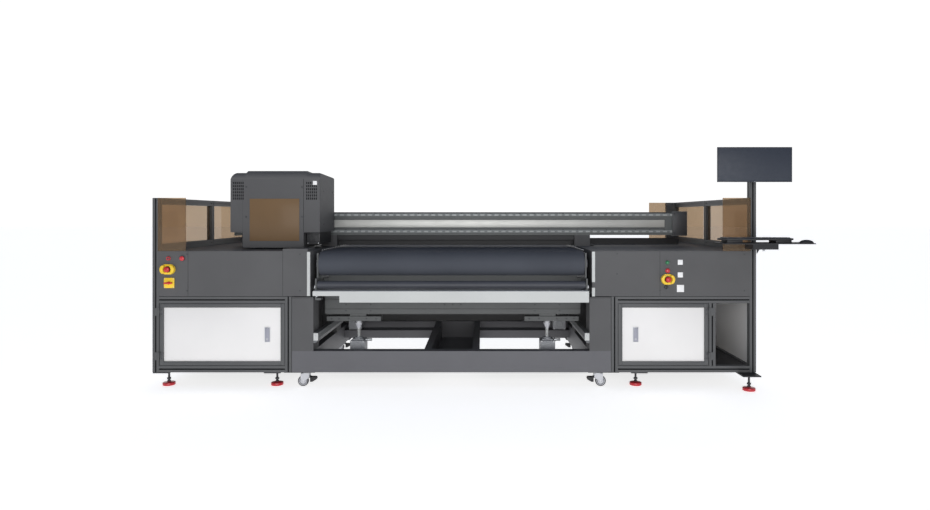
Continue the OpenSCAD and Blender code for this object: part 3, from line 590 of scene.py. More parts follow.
def carriage_fixings():
    """Screws round the window and on both sides of the cover, and a blank label."""
    left, right = COVER_LOW.x, COVER_HIGH.x
    front = COVER_LOW.y
    trim = Shape("carriage_fixings")
    trim.screws(grid((left + 117, right - 129), [front - 0.2], (1427, 1207)), FRONT, 6.5, 3.0, "dark")
    trim.box((right - 51, right - 20), (front - 1.4, front - 0.1), (1442, 1471), "label", 0.6)
    for x, way in ((left, -1), (right, 1)):
        trim.screws(grid([x], (front + 120, COVER_HIGH.y - 60), (1150, 1400)), (way, 0, 0), 6, 2.0,
                    "dark")
    trim.done("carriage", "steel")


def print_lamps():
    """Finned curing lamps and their screws below the carriage's wings."""
    fin_pitch = 10
    front = COVER_LOW.y + 56
    lamps = Shape("curing_lamp_fins")
    for x0, x1 in ((COVER_LOW.x + 65, COVER_LOW.x + 85), (COVER_HIGH.x - 109, COVER_HIGH.x - 16)):
        lamps.box((x0 - 1, x1 + 1), (front, front + 6), (1006, 1088), "dark", 2)
        for i in range(int((x1 - x0) / fin_pitch)):
            fin_x = x0 + 4 + i * fin_pitch
            lamps.box((fin_x, fin_x + 4), (front - 6, front + 1), (1016, 1080), "near_black", 0.8)
        lamps.screws(grid((x0 + 8, x1 - 8), [front], [1010]), FRONT, 4, 3, "zinc")
    lamps.done("carriage", "black_plastic")


# -------- doors and panels

DOOR_BAR = 30
DOOR_FRONT = 0.5
HINGES_Z = (205, 515)
LATCH_Z = 382


def door_leaf(name, left, right, low, high):
    """The door's profile frame with thin near-black strips of painted shade for a groove round its front,
    and the white sheet in it.
    """
    y0, y1 = DOOR_FRONT, high.y
    z0, z1 = low.z, high.z
    frame_piece = Shape(name + "_frame")
    for x in (left, right - DOOR_BAR):
        frame_piece.box((x, x + DOOR_BAR), (y0, y1), (z0, z1), "profile", 1.6)
    for z in (z0, z1 - DOOR_BAR):
        frame_piece.box((left + DOOR_BAR - 0.4, right - DOOR_BAR + 0.4), (y0, y1), (z, z + DOOR_BAR),
                        "profile", 1.6)
    # painted shade: near-black strips stand for the groove round the frame's front
    groove_y = (y0 - 0.2, y0 + 1)
    for x in (left + 2.5, right - 3.5):
        frame_piece.box((x, x + 1), groove_y, (z0 + 3, z1 - 3), "slot_shade_and_seam", 0)
    for z in (z0 + 2.5, z1 - 3.5):
        frame_piece.box((left + 3, right - 3), groove_y, (z, z + 1), "slot_shade_and_seam", 0)
    frame_piece.done(name, "profile_paint", name)

    lap = DOOR_BAR - 2
    sheet = Shape(name + "_sheet")
    sheet.box((left + lap, right - lap), (7, 10), (z0 + lap, z1 - lap), "white", 0.8)
    sheet.done(name, "white_sheet")


def hinge_leaves(name, hinge_x, reach):
    """The door's half of each hinge: a leaf with two screws, a knuckle and the web between."""
    leaves = Shape(name + "_hinge_leaves")
    for z in HINGES_Z:
        leaves.box(mirrored(reach, 8, 29, hinge_x), (-3, 0.4), (z + 1, z + 53), "profile", 1.0)
        leaves.rod(at(hinge_x, -6.5, z), UP, 6, 18.4, 35.6, "profile", 0.8)
        leaves.box(mirrored(reach, 2, 9, hinge_x), (-4.5, -1.5), (z + 18.6, z + 35.4), "profile", 0.6)
        leaves.screws(grid([hinge_x + reach * 19], [-3], (z + 12, z + 42)), FRONT, 4.5, 1.8, "dark")
    leaves.done(name, "dark_metal")


def latch(side, door_name):
    """A flush pan in the door, and the paddle in it with its pin and its round lock."""
    low, high = limits(side + "_latch")
    middle = (low.x + high.x) / 2
    pan_half = 52.5
    pan = Shape(door_name + "_latch_pan")
    for x in (middle - 19, middle + 15.5):
        pan.box((x, x + 3.5), (1.5, 8), (LATCH_Z - pan_half, LATCH_Z + pan_half), "hub", 1.0)
    for z in (LATCH_Z - pan_half, LATCH_Z + pan_half - 3.5):
        pan.box((middle - 16, middle + 16), (1.5, 8), (z, z + 3.5), "hub", 1.0)
    pan.box((middle - 16, middle + 16), (6, 8), (LATCH_Z - 50, LATCH_Z + 50), "steel", 0.4)
    pan.done(door_name, "steel")

    paddle = Shape(side + "_latch_paddle")
    paddle.box((low.x, high.x), (1.2, 3.8), (low.z, high.z - 3), "latch_grey", 1.0)
    paddle.rod(at(low.x + 0.2, 3, high.z - 2), RIGHT, 2, 0, 28.6, "steel", 0.4, 18)
    lock = [(0, -0.3), (3, -0.3), (3.4, 0.5), (6.4, 0.6), (7, 0), (7, -0.6)]
    paddle.turned(at(middle, 1.2, low.z + 16), FRONT, lock, "zinc", 24)
    paddle.done(side + "_latch", "steel", side + "_latch")


def door(side):
    """A cabinet door: frame and sheet, hinge leaves, and a latch."""
    name = side + "_door"
    low, high = limits(name)
    hinge_gap = 7.5
    if side == "left":
        left, right = low.x + hinge_gap, high.x
        hinge_x, reach = left - 1.5, 1
    else:
        left, right = low.x, high.x - hinge_gap
        hinge_x, reach = right + 1.5, -1
    door_leaf(name, left, right, low, high)
    hinge_leaves(name, hinge_x, reach)
    latch(side, name)


SHEET_SCREWS = ((1159, 949), (1159, 807), (-1850, 945), (-1850, 690), (-1060, 945), (-1060, 690),
                (2050, 945), (2050, 690), (1460, 690), (1010, 690))
SEAMS_X = (-1844, -1181, 1460)


def panel_details():
    """Screws and seams of the front and top sheets."""
    screws = Shape("panel_screws")
    screws.screws([at(x, -0.2, z) for x, z in SHEET_SCREWS], FRONT, 5, 1.8, "dark")
    screws.screws(grid((LEFT_INNER + 3, RIGHT_INNER - 3), (300, 1000, 1500), [960]), UP, 4, 0.4, "dark")
    screws.done("frame", "dark_metal")
    seams = Shape("panel_seams")
    for x in SEAMS_X:
        seams.box((x - 0.8, x + 0.8), (-0.35, 0.5), (652, 966), "slot_shade_and_seam", 0)
    for side in (-1, 1):
        seams.box(mirrored(side, 967, 1117), (-0.35, 0.6), (638, 639.6), "slot_shade_and_seam", 0)
    seams.done("frame", "dark_metal")


def corner_angles():
    """Cast angles in the inner corners of the cabinet frames, front and back."""
    leg = 28
    for name, xs in (("left", (LEFT_OUTER + POST, LEFT_INNER - POST)),
                     ("right", (RIGHT_INNER + POST, OPEN_BAY_X))):
        angles = Shape(name + "_corner_angles")
        for x, inward in zip(xs, (1, -1)):
            for y0, y1 in ((30, 46), (1714, 1730)):
                for z, up in ((163, 1), (603, -1)):
                    outline = [(x, z), (x + inward * leg, z), (x + inward * leg, z + up * 4),
                               (x + inward * 6, z + up * leg * 0.8), (x + inward * 4, z + up * leg),
                               (x, z + up * leg)]
                    angles.outline(outline, "xz", y0, y1, "dark", 0.8, 1)
        angles.done("frame", "dark_metal")


def slot_shade_lines():
    """Painted shade: near-black floors in the T-slots of the cabinet frames' front faces."""
    # near-black slot floors paint the shade inside the T-slots
    lines = Shape("frame_slot_shade")
    slot_low, slot_high = 18, 27
    depth = (5.0, 5.9)
    for x, z0, z1 in ((LEFT_OUTER, 119, 1339), (LEFT_INNER - POST, 119, 647), (RIGHT_INNER, 119, 647),
                      (OPEN_BAY_X, 165, 601), (RIGHT_OUTER - POST, 119, 1581)):
        lines.box((x + slot_low, x + slot_high), depth, (z0, z1), "slot_shade_and_seam", 0)
    for x0, x1 in ((LEFT_OUTER, LEFT_INNER), (RIGHT_INNER, RIGHT_OUTER)):
        for z in (118, 603):
            lines.box((x0 + POST + 2, x1 - POST - 2), depth, (z + slot_low, z + slot_high), "slot_shade_and_seam", 0)
    lines.done("frame", "dark_metal")


# -------- feet, castors and jacks

PAD_RADIUS = 43
FOOT_THREAD_TURNS = 45


def levelling_foot(number, x, y, top):
    """A red pad, and a threaded stem on it with a lock nut and a plate at the top."""
    foot = Shape("levelling_foot_%d" % number)
    centre = at(x, y, 0)
    r = PAD_RADIUS
    pad = [(0, 0), (r - 2, 0), (r, 2), (r, 17), (r - 1, 19.5), (r - 4, 21), (30, 22.4), (20, 24),
           (15, 25.5), (0, 25.5)]
    foot.turned(centre, UP, pad, "foot_red", 48)
    collar = [(0, 24), (12, 24), (12.5, 29), (10, 34), (7.6, 36)]
    thread = [(7.6 if i % 2 else 6.9, 36 + i * 1.6) for i in range(FOOT_THREAD_TURNS)]
    foot.turned(centre, UP, collar + thread + [(0, 108)], "dark", 24)
    nut = [(0, 41), (13.5, 41), (15, 42.2), (15, 51.6), (13.5, 53), (0, 53)]
    foot.turned(centre, UP, nut, "dark", 6)
    plate = [(0, top - 8), (17, top - 8), (17, top - 0.4), (0, top - 0.4)]
    foot.turned(centre, UP, plate, "dark", 28)
    replaced = ["levelling_feet"] if number == 1 else []
    foot.done("frame", "foot_paint", *replaced, angle=25)


def levelling_feet():
    """Four feet in front and four at the back; the outer right one stands further forward."""
    low, high = limits("levelling_feet")
    xs = (low.x + PAD_RADIUS, -1258, 1318, high.x - PAD_RADIUS)
    front_row = zip(xs, (120, 120, 120, -25))
    rear_row = [(x, high.y - PAD_RADIUS) for x in xs]
    for number, (x, y) in enumerate([*front_row, *rear_row], 1):
        levelling_foot(number, x, y, high.z)


CASTOR_TRAIL = 25  # from the wheel's axle to the swivel axis


def turned_to(way, pivot, points):
    """Outline points measured from the swivel axis, pointing right for 1 and left for -1."""
    return [(pivot + way * u, height) for u, height in points]


def castor_wheel(name, x, y, z):
    """A soft tyre on a pale hub."""
    tyre = [(22, -11), (29, -11.5), (33, -13.5), (36, -12), (37.4, -7), (37.5, 0), (37.4, 7),
            (36, 12), (33, 13.5), (29, 11.5), (22, 11)]
    hub = [(5.2, -13), (11, -13), (12, -12), (14, -8), (24, -8), (26, -12), (29.4, -12), (29.4, 12),
           (26, 12), (24, 8), (14, 8), (12, 12), (11, 13), (5.2, 13)]
    wheel = Shape(name + "_castor_wheel")
    wheel.turned(at(x, y, z), FRONT, tyre, "tyre", 56)
    wheel.turned(at(x, y, z), FRONT, hub, "hub", 56)
    wheel.done(name + "_wheel", "wheel_tyre", name + "_wheel", angle=30)


def castor_fork(name, way, pivot, x, y, z):
    """Two pressed cheeks under a top plate, the swivel bearing, and the axle."""
    cheek = turned_to(way, pivot, [(-22, 96), (-22, 66), (-8, 58), (11, 47)]
                      + arc(CASTOR_TRAIL, z, 13, 160, 380, 9) + [(40, 62), (40, 96)])
    fork = Shape(name + "_castor_fork")
    for cheek_y in (y - 21, y + 16):
        fork.outline(cheek, "xz", cheek_y, cheek_y + 4.6, "hub", 0.8, 1)
    fork.box(mirrored(way, -22, 40, pivot), (y - 20, y + 20), (92.5, 97.5), "hub", 1.5)
    bearing = [(0, 97), (27, 97), (30, 99), (30, 103), (26, 105.5), (26, 109.4), (0, 109.4)]
    fork.turned(at(pivot, y, 0), UP, bearing, "zinc", 40)
    nut = [(0, 3.6), (3.5, 3.6), (6.2, 2.6), (6.6, 0), (6.6, -1)]
    for outward in (-1, 1):
        fork.turned(at(x, y + outward * 21, z), (0, outward, 0), nut, "zinc", 20)
    fork.rod(at(x, y - 24, z), BACK, 4.95, 0, 48, "steel", 0.8, 20)
    fork.done(name + "_fork", "steel", name + "_fork")


def castor_pedal(name, way, pivot, y):
    """The brake pedal: a short lever, and a pad with four ribs to step on."""
    pedal = Shape(name + "_brake_pedal")
    lever = turned_to(way, pivot, [(-17, 76), (-28, 76), (-32, 72), (-32, 64), (-17, 64)])
    pedal.outline(lever, "xz", y - 13.5, y + 13.5, "black_plastic", 1.6)
    pad = turned_to(way, pivot, [(-26, 71.5), (-66, 71.5), (-71.5, 66), (-71.5, 54), (-42, 36.5),
                                 (-26, 36.5)])
    pedal.outline(pad, "xz", y - 19, y + 19, "black_plastic", 2.0)
    for i in range(4):
        rib = 36 + i * 6
        pedal.box(mirrored(-way, rib, rib + 2.4, pivot), (y - 15, y + 15), (70.5, 72.6),
                  "black_plastic", 0.5)
    pedal.rod(at(pivot - way * 18, y - 21, 70), BACK, 2.95, 0, 42, "steel", 0.5, 18)
    pedal.done(name + "_pedal", "black_plastic", name + "_pedal")


def castor(end, side):
    """A swivel castor whose wheel trails towards its own side of the machine."""
    name = end + "_" + side
    way = -1 if side == "left" else 1
    low, high = limits(name + "_wheel")
    x, y, z = (low + high) / 2
    pivot = x - way * CASTOR_TRAIL
    castor_wheel(name, x, y, z)
    castor_fork(name, way, pivot, x, y, z)
    castor_pedal(name, way, pivot, y)


# x, y and base height of each jack
JACKS = ((-693, 230, 215), (693, 230, 215), (-880, 1077, 228), (880, 1077, 228))
JACK_HALF = 54
JACK_BORE = 13.6
THREAD_TOP = 388
THREAD_PITCH = 2.6
THREAD_CORE = 12.02
THREAD_CREST = 12.9
JACK_FLANGE_Z = 427


def jack_gearbox(number, x, y, base):
    """A worm gearbox with a bored bearing cap, cover screws and a keyed input shaft."""
    jack = Shape("jack_gearbox_%d" % number)
    top = base + 100
    jack.bored_block(x, y, JACK_HALF, base + 1, base + 92, JACK_BORE, "cast", 5)
    jack.bored_block(x, y, 40, base + 92.1, top, JACK_BORE, "cast", 2)
    bearing_cap = [(JACK_BORE, -2), (32, -2), (32, 6), (28, 11.6), (JACK_BORE, 11.6)]
    jack.turned(at(x, y, top), UP, bearing_cap, "cast", 36)
    jack.screws(grid((x - 44, x + 44), [y - JACK_HALF], (base + 11, base + 83)), FRONT, 6, 4, "zinc")
    front_cover = [(0, 1.5), (20, 1.5), (22, 3), (30, 3), (31, 1), (31, -1)]
    jack.turned(at(x, y - JACK_HALF, base + 47), FRONT, front_cover, "cast", 36)
    shaft = [(16, -2), (16, 5), (13, 7), (9, 7), (9, 41), (8, 43), (0, 43)]
    jack.turned(at(x + JACK_HALF, y, base + 88), RIGHT, shaft, "steel", 28)
    jack.box((x + 66, x + 92), (y - 2.5, y + 2.5), (base + 93, base + 98.5), "zinc", 0.8)
    replaced = ["jack_housings"] if number == 1 else []
    jack.done("frame", "steel", *replaced)


def jack_thread(number, x, y, base):
    """The jack screw's thread and the bright rim of the flange on top of it."""
    start = base + 113
    steps = int((THREAD_TOP - start - 1) / THREAD_PITCH)
    thread = [(THREAD_CREST if i % 2 else THREAD_CORE, 2 + i * THREAD_PITCH) for i in range(steps)]
    screw = Shape("jack_thread_%d" % number)
    screw.turned(at(x, y, start), UP,
                 [(THREAD_CORE, -1)] + thread + [(THREAD_CORE, THREAD_TOP - start)], "light_metal", 26)
    rim = [(25.8, 1.4), (26.6, 2.4), (26.6, 6.6), (25.8, 7.6)]
    screw.turned(at(x, y, JACK_FLANGE_Z), UP, rim, "zinc", 30)
    screw.done("conveyor", "steel", angle=25)


def jacks():
    """The four worm jacks that carry the conveyor."""
    for number, (x, y, base) in enumerate(JACKS, 1):
        jack_gearbox(number, x, y, base)
        jack_thread(number, x, y, base)


# -------- controls

SPINDLE_RADIUS = 7.95


def spindle(piece, x, z, front):
    """The round bar that carries a control through the sheet, from its front end backwards."""
    piece.rod(at(x, 0, z), BACK, SPINDLE_RADIUS, front, 22, "black_plastic", 0.4, 24)


def push_control(name, place, size, ring, cap, domed, slot, ring_light=None):
    """A panel control: a bevelled ring on the sheet, and a cap that travels inside it."""
    x, z = place
    r = size / 2
    ring_profile = [(r - 2.4, -0.2), (r, -0.2), (r, 3.4), (r - 1.0, 5.8), (r - 2.0, 6.2), (r - 2.4, 5.4)]
    bezel = Shape(name + "_bezel")
    bezel.turned(at(x, 0, z), FRONT, ring_profile, ring, 44)
    bezel.done("frame", "yellow_plastic")

    dome = 3.2 if domed else 0.4
    crown = [((r - 4) * math.sin(a), 10 + dome * math.cos(a)) for a in (0.3, 0.6, 0.9, 1.2)]
    cap_profile = [(0, 10 + dome)] + crown + [(r - 3.3, 9.6), (r - 2.8, 8.6), (r - 2.8, 3.6), (0, 3.6)]
    button = Shape(name + "_cap")
    button.turned(at(x, 0, z), FRONT, cap_profile, cap, 44)
    if ring_light:
        lens = [(r - 8.5, 10.2), (r - 8, 11), (r - 3.8, 11), (r - 3.4, 10.2)]
        button.turned(at(x, 0, z), FRONT, lens, ring_light, 44)
    spindle(button, x, z, -3.8)
    button.done(name, slot, name)


def stop_guard(name, x, z, width, height):
    """The yellow guard of an emergency stop: an oval base with two raised lobes."""
    r = height / 2
    reach = width / 2 - r
    lobe_angle = 62
    guard = Shape(name + "_guard")
    oval = ([(x + reach + a, z + b) for a, b in arc(0, 0, r, -90, 90, 14)]
            + [(x - reach + a, z + b) for a, b in arc(0, 0, r, 90, 270, 14)])
    guard.outline(oval, "xz", -9, -0.1, "yellow", 1.6)
    outer = arc(0, 0, r - 1, -lobe_angle, lobe_angle, 12)
    inner = arc(0, 0, 27.5, lobe_angle - 8, -lobe_angle + 8, 12)
    for way in (-1, 1):
        lobe = [(x + way * (reach + a), z + b) for a, b in outer]
        lobe += [(x + way * a, z + b) for a, b in inner]
        guard.outline(lobe, "xz", -26, -8, "yellow", 2.4, 3)
    collar = [(8.4, 9), (21, 9), (23, 10.2), (23, 11), (8.4, 11)]
    guard.turned(at(x, 0, z), FRONT, collar, "near_black", 36)
    guard.done("frame", "yellow_plastic")


def stop_head(name, x, z):
    """The red mushroom head of an emergency stop, with three small raised marks."""
    head = Shape(name + "_head")
    mushroom = [(0, 36), (7, 35.6), (13, 34.2), (17, 31.6), (19.4, 28), (20, 24), (19, 21), (15, 20),
                (0, 20)]
    head.turned(at(x, 0, z), FRONT, mushroom, "red", 48)
    mark_circle, mark_size = 9.5, 3.4
    for turn in range(3):
        a = math.radians(90 + 120 * turn)
        mark_x, mark_z = x + mark_circle * math.cos(a), z + mark_circle * math.sin(a)
        mark = [(mark_x + mark_size * math.cos(a + t), mark_z + mark_size * math.sin(a + t))
                for t in (0, 2.1, 4.2)]
        head.outline(mark, "xz", -36.0, -34.0, "lamp_red", 0.5, 1)
    spindle(head, x, z, -21)
    head.done(name, "red_plastic", name)


def stop_control(name, place, width, height):
    """An emergency stop: a guard on the sheet round a head that can be pressed."""
    x, z = place
    stop_guard(name, x, z, width, height)
    stop_head(name, x, z)


def isolator(x, z):
    """The main switch: a yellow plate with four screws, and a red grip that turns on it."""
    plate = Shape("isolator_plate")
    plate.box((x - 36, x + 37), (-6, -0.1), (z - 36, z + 36), "yellow", 2.2, 3)
    plate.screws(grid((x - 30, x + 31), [-6], (z - 30, z + 30)), FRONT, 3, 1.2, "zinc")
    plate.done("frame", "yellow_plastic", "control_bezels")
    handle = Shape("isolator_grip")
    hub = [(0, 14), (10, 14), (11, 13), (11, 6.5), (0, 6.5)]
    handle.turned(at(x, 0, z), FRONT, hub, "red", 40)
    grip = [(x - 29, z - 4), (x - 22, z - 6), (x + 22, z - 6), (x + 29, z - 4),
            (x + 29, z + 4), (x + 22, z + 6), (x - 22, z + 6), (x - 29, z + 4)]
    handle.outline(grip, "xz", -26, -13, "red", 1.6, 3)
    spindle(handle, x, z, -8)
    handle.done("isolator_handle", "red_plastic", "isolator_handle")


def key_switch(x, z):
    """A small round switch with its key in it."""
    ring = [(11.6, -0.2), (14, -0.2), (14, 4), (12.6, 6.2), (11.6, 5.6)]
    bezel = Shape("key_switch_bezel")
    bezel.turned(at(x, 0, z), FRONT, ring, "dark", 40)
    bezel.done("frame", "yellow_plastic")
    key = Shape("key_switch_barrel")
    barrel = [(0, 11), (9, 11), (11.1, 10), (11.1, 1), (0, 1)]
    key.turned(at(x, 0, z), FRONT, barrel, "dark", 40)
    bow = [(x - 2.4, z - 9), (x + 2.4, z - 9), (x + 2.4, z + 9), (x - 2.4, z + 9)]
    key.outline(bow, "xz", -20, -10.5, "black_plastic", 0.8)
    spindle(key, x, z, -3)
    key.done("key_switch", "black_plastic", "key_switch")


def blank_labels():
    """Three plain white plates beside the right controls."""
    for number, (x, z, size) in enumerate(((1602, 889, 35), (1602, 801, 36), (1603, 706, 50)), 1):
        half = size / 2
        tag = Shape("blank_label_%d" % number)
        tag.box((x - half, x + half), (-1.5, -0.1), (z - half, z + half), "label", 0.6)
        replaced = ["label_plates"] if number == 1 else []
        tag.done("frame", "white_plastic", *replaced)


def controls():
    """Both control groups: places are x and z on the front sheets, then diameters."""
    push_control("ring_button", (-1980, 916), 31, "lamp_red", "dark", False, "red_plastic", "lamp_red")
    push_control("red_button", (-1884, 916), 38, "dark", "lamp_red", True, "red_plastic")
    push_control("green_button", (1511, 887), 28, "green", "green", True, "green_plastic")
    push_control("reset_button", (1513, 830), 33, "lamp_red", "lamp_red", True, "red_plastic")
    stop_control("left_stop_button", (-1982, 840), 103, 71)
    stop_control("right_stop_button", (1513, 770), 95, 74)
    isolator(-1975, 745)
    key_switch(1503, 715)
    blank_labels()


# -------- conveyor

LIFT_LOW, LIFT_HIGH = limits("conveyor_frame")
TABLE_LOW, TABLE_HIGH = limits("conveyor_belt")
BELT_EDGE = TABLE_HIGH.x
SIDE_PLATE = LIFT_HIGH.x       # outer face of the lifting frame's side plates
DRUM_REACH = 85                # from a drum's axis to the end of the belt
BELT_TOP = TABLE_HIGH.z
FRONT_AXIS_Y = TABLE_LOW.y + DRUM_REACH
REAR_AXIS_Y = TABLE_HIGH.y - DRUM_REACH
CROSS_BEAM_Y = 195             # front face of the lifting frame's cross beam


def drum_bearing(piece, side, y, z):
    """A flanged bearing on the side plate, round a drum's shaft, with four screws."""
    collar = [(20.4, 2.6), (34, 2.6), (36, 4), (36, 10), (33, 12.5), (23, 12.5), (20.4, 11)]
    piece.turned(at(side * (SIDE_PLATE - 3), y, z), (side, 0, 0), collar, "cast", 40)
    bolt_circle = 29
    for turn in range(4):
        a = math.radians(45 + 90 * turn)
        bolt_y, bolt_z = y + bolt_circle * math.cos(a), z + bolt_circle * math.sin(a)
        piece.screws([at(side * (SIDE_PLATE + 9), bolt_y, bolt_z)], (side, 0, 0), 3.6, 2.5, "zinc")


def side_guides():
    """Guide strips along both edges of the belt, drum bearings, and the side plates' bolts."""
    drum_low, drum_high = limits("front_drum")
    axis_z = (drum_low.z + drum_high.z) / 2
    guides = Shape("conveyor_side_guides")
    for side in (-1, 1):
        guides.box(mirrored(side, BELT_EDGE + 5, SIDE_PLATE - 1), (FRONT_AXIS_Y + 60, REAR_AXIS_Y - 60),
                   (BELT_TOP - 9, BELT_TOP + 6), "dark", 1.5)
        guides.box(mirrored(side, BELT_EDGE + 2, BELT_EDGE + 5.5), (FRONT_AXIS_Y + 80, REAR_AXIS_Y - 80),
                   (BELT_TOP - 30, BELT_TOP - 4), "dark", 0.6)
        along = spread(FRONT_AXIS_Y + 90, REAR_AXIS_Y - 90, 17)
        guides.screws(grid([side * (BELT_EDGE + 14)], along, [BELT_TOP + 5.8]), UP, 5.5, 4.0, "zinc")
        for y in (FRONT_AXIS_Y, REAR_AXIS_Y):
            drum_bearing(guides, side, y, axis_z)
        along = spread(FRONT_AXIS_Y + 110, REAR_AXIS_Y - 110, 6)
        guides.screws(grid([side * SIDE_PLATE], along, (740, 900)), (side, 0, 0), 6, 4, "zinc")
    guides.done("conveyor", "dark_metal")


def roll_arm_caps():
    """Pale plates on the ends of the two media roll arms."""
    caps = Shape("roll_arm_end_caps")
    for side in (-1, 1):
        caps.box(mirrored(side, 934, 966), (-0.5, 2.2), (341, 393), "strip", 0.8)
        caps.screws([at(side * 950, -0.4, 375)], FRONT, 5, 2.5, "zinc")
    caps.done("frame", "light_metal")


def front_fittings():
    """A clamp block and three bolts on the front end of each side plate."""
    fittings = Shape("conveyor_front_fittings")
    front = LIFT_LOW.y
    for side in (-1, 1):
        fittings.box(mirrored(side, SIDE_PLATE - 5, SIDE_PLATE + 8), (front + 10, front + 46), (704, 728),
                     "cast", 2)
        fittings.screws([at(side * (SIDE_PLATE + 1), front + 10, 716)], FRONT, 6, 4, "zinc")
        fittings.screws(grid([side * (SIDE_PLATE - 12)], [front + 2], (650, 680)), FRONT, 4.5, 3, "zinc")
    fittings.done("conveyor", "steel")


def beam_bolts():
    """Bolts of the lifting frame's front cross beam, of the jack brackets and of the side plates."""
    bolts = Shape("conveyor_beam_bolts")
    outer_x = (-780, -600, 600, 780)
    bolts.screws(grid(outer_x, [CROSS_BEAM_Y], (520, 622)), FRONT, 5, 3, "dark")
    bolts.screws(grid((*outer_x, -60, 0, 60), [CROSS_BEAM_Y], [566]), FRONT, 5, 3, "dark")
    bracket_x = (560, 630, 760, 830, 885)
    bolts.screws(grid(both_sides(*bracket_x), [CROSS_BEAM_Y - 5], [463]), FRONT, 5.5, 3.5, "dark")
    bolts.screws(grid(both_sides(915, 935), [CROSS_BEAM_Y], (670, 735)), FRONT, 4.5, 3, "dark")
    bolts.done("conveyor", "steel")


def front_bar_screws():
    """Fixing screws on the top and at both ends of the folded bar in front of the belt."""
    low, high = limits("front_bar")
    screws = Shape("front_bar_screws")
    screws.screws(grid(spread(low.x + 40, high.x - 40, 9), [low.y + 40], [high.z]), UP, 5, 2.5, "zinc")
    screws.screws(grid((low.x + 16, high.x - 16), [low.y], (672, 686)), FRONT, 4, 2, "zinc")
    screws.done("conveyor", "steel")


# -------- workstation

MONITOR_LOW, MONITOR_HIGH = limits("monitor")
MONITOR_X = (MONITOR_LOW.x + MONITOR_HIGH.x) / 2
MONITOR_Z = (MONITOR_LOW.z + MONITOR_HIGH.z) / 2
TILT_Y = MONITOR_LOW.y + 90   # axis of the tilt head


def monitor_unit():
    """Thin-bezel monitor: glossy panel, rounded back shell with vents drawn as near-black strips of
    painted shade, and its tilt head.
    """
    x0, x1 = MONITOR_LOW.x, MONITOR_HIGH.x
    z0, z1 = MONITOR_LOW.z, MONITOR_HIGH.z
    front = MONITOR_LOW.y
    middle_x, middle_z = MONITOR_X, MONITOR_Z
    bezel_y = (front, front + 12)
    unit = Shape("monitor_unit")
    for x in (x0, x1 - 7):
        unit.box((x, x + 7), bezel_y, (z0, z1), "blue_black", 2.0, 3)
    for z, height in ((z0, 9), (z1 - 7, 7)):
        unit.box((x0 + 6, x1 - 6), bezel_y, (z, z + height), "blue_black", 2.0, 3)
    unit.box((x0 + 6, x1 - 6), (front + 1.6, front + 10), (z0 + 8, z1 - 6), "screen", 0.6)
    unit.box((x0 + 4, x1 - 4), (front + 11, front + 19), (z0 + 4, z1 - 4), "black_plastic", 3.5, 3)
    unit.box((x0 + 70, x1 - 70), (front + 17, front + 34.6), (z0 + 26, z1 - 26), "black_plastic", 9, 4)
    # the back vents are near-black strips of painted shade
    for x in spread(middle_x - 120, middle_x + 105, 16):
        unit.box((x, x + 6), (front + 33.6, front + 34.9), (z1 - 60, z1 - 40), "slot_shade_and_seam", 0.5)
    mount = 50
    unit.box((middle_x - mount, middle_x + mount), (front + 34, front + 37),
             (middle_z - mount, middle_z + mount), "dark", 1.0)
    corners = grid((middle_x - 43, middle_x + 43), [front + 37], (middle_z - 43, middle_z + 43))
    unit.screws(corners, BACK, 5, 2.5, "zinc")
    unit.box((middle_x - 20.5, middle_x + 20.5), (front + 36, front + 86), (middle_z - 8, middle_z + 8),
             "dark", 3)
    unit.rod(at(middle_x - 21, TILT_Y, middle_z), RIGHT, 12, 0, 42, "dark", 1.2, 40)
    unit.rod(at(middle_x - 34, TILT_Y, middle_z), RIGHT, 6, 0, 68, "steel", 0.8, 28)
    unit.box((middle_x - 3, middle_x + 3), (front - 0.2, front + 0.6), (z0 + 3, z0 + 5), "hub", 0.2)
    unit.done("monitor", "monitor_plastic", "monitor")


def monitor_arm_fixings():
    """Screws of the monitor arm on its post, and the nuts on the tilt axle."""
    fixings = Shape("monitor_arm_fixings")
    heights = (MONITOR_Z - 46, MONITOR_Z + 6)
    fixings.screws(grid((RIGHT_OUTER - 9, RIGHT_OUTER - 27), [-8], heights), FRONT, 4.5, 3, "zinc")
    nut = [(6.2, -0.4), (11, -0.4), (11, 5), (9.5, 6.5), (6.2, 6.5)]
    for side in (-1, 1):
        fixings.turned(at(MONITOR_X + side * 30, TILT_Y, MONITOR_Z), (side, 0, 0), nut, "zinc", 6)
    fixings.done("frame", "dark_metal")


TRAY_LOW, TRAY_HIGH = limits("keyboard_tray")
TRAY_FRONT, TRAY_BACK = TRAY_LOW.y, TRAY_LOW.y + 225
TRAY_THICKNESS = 6
TRAY_Z = TRAY_HIGH.z - TRAY_THICKNESS
TRAY_PIVOT_X, TRAY_PIVOT_Y = 2140, -105

KEYBOARD_LEFT, KEYBOARD_RIGHT = TRAY_LOW.x - 15, TRAY_LOW.x + 475
KEYBOARD_FRONT, KEYBOARD_BACK = TRAY_FRONT + 10, TRAY_FRONT + 155
KEYBOARD_Z = TRAY_Z + 25
KEY_DEPTH = 17.2
ROW_PITCH = 20.4
GAP_LIMIT = 12    # narrower steps in a row are gaps between blocks of keys
SPACE_ROW = [26, 19, 19, 112, 19, 19, 26, 8, 19, 19, 19, 8, 38, 19, 19]
LETTER_ROW = [27] + [19] * 12 + [27, 8, 19, 19, 19, 8] + [19] * 4
FUNCTION_ROW = [19, 10] + ([19] * 4 + [8]) * 3 + [19] * 3
# from the user to the back: (row, its distance from the keyboard's ends)
KEY_ROWS = [(SPACE_ROW, 34)] + [(LETTER_ROW, 27)] * 4 + [(FUNCTION_ROW, 34)]


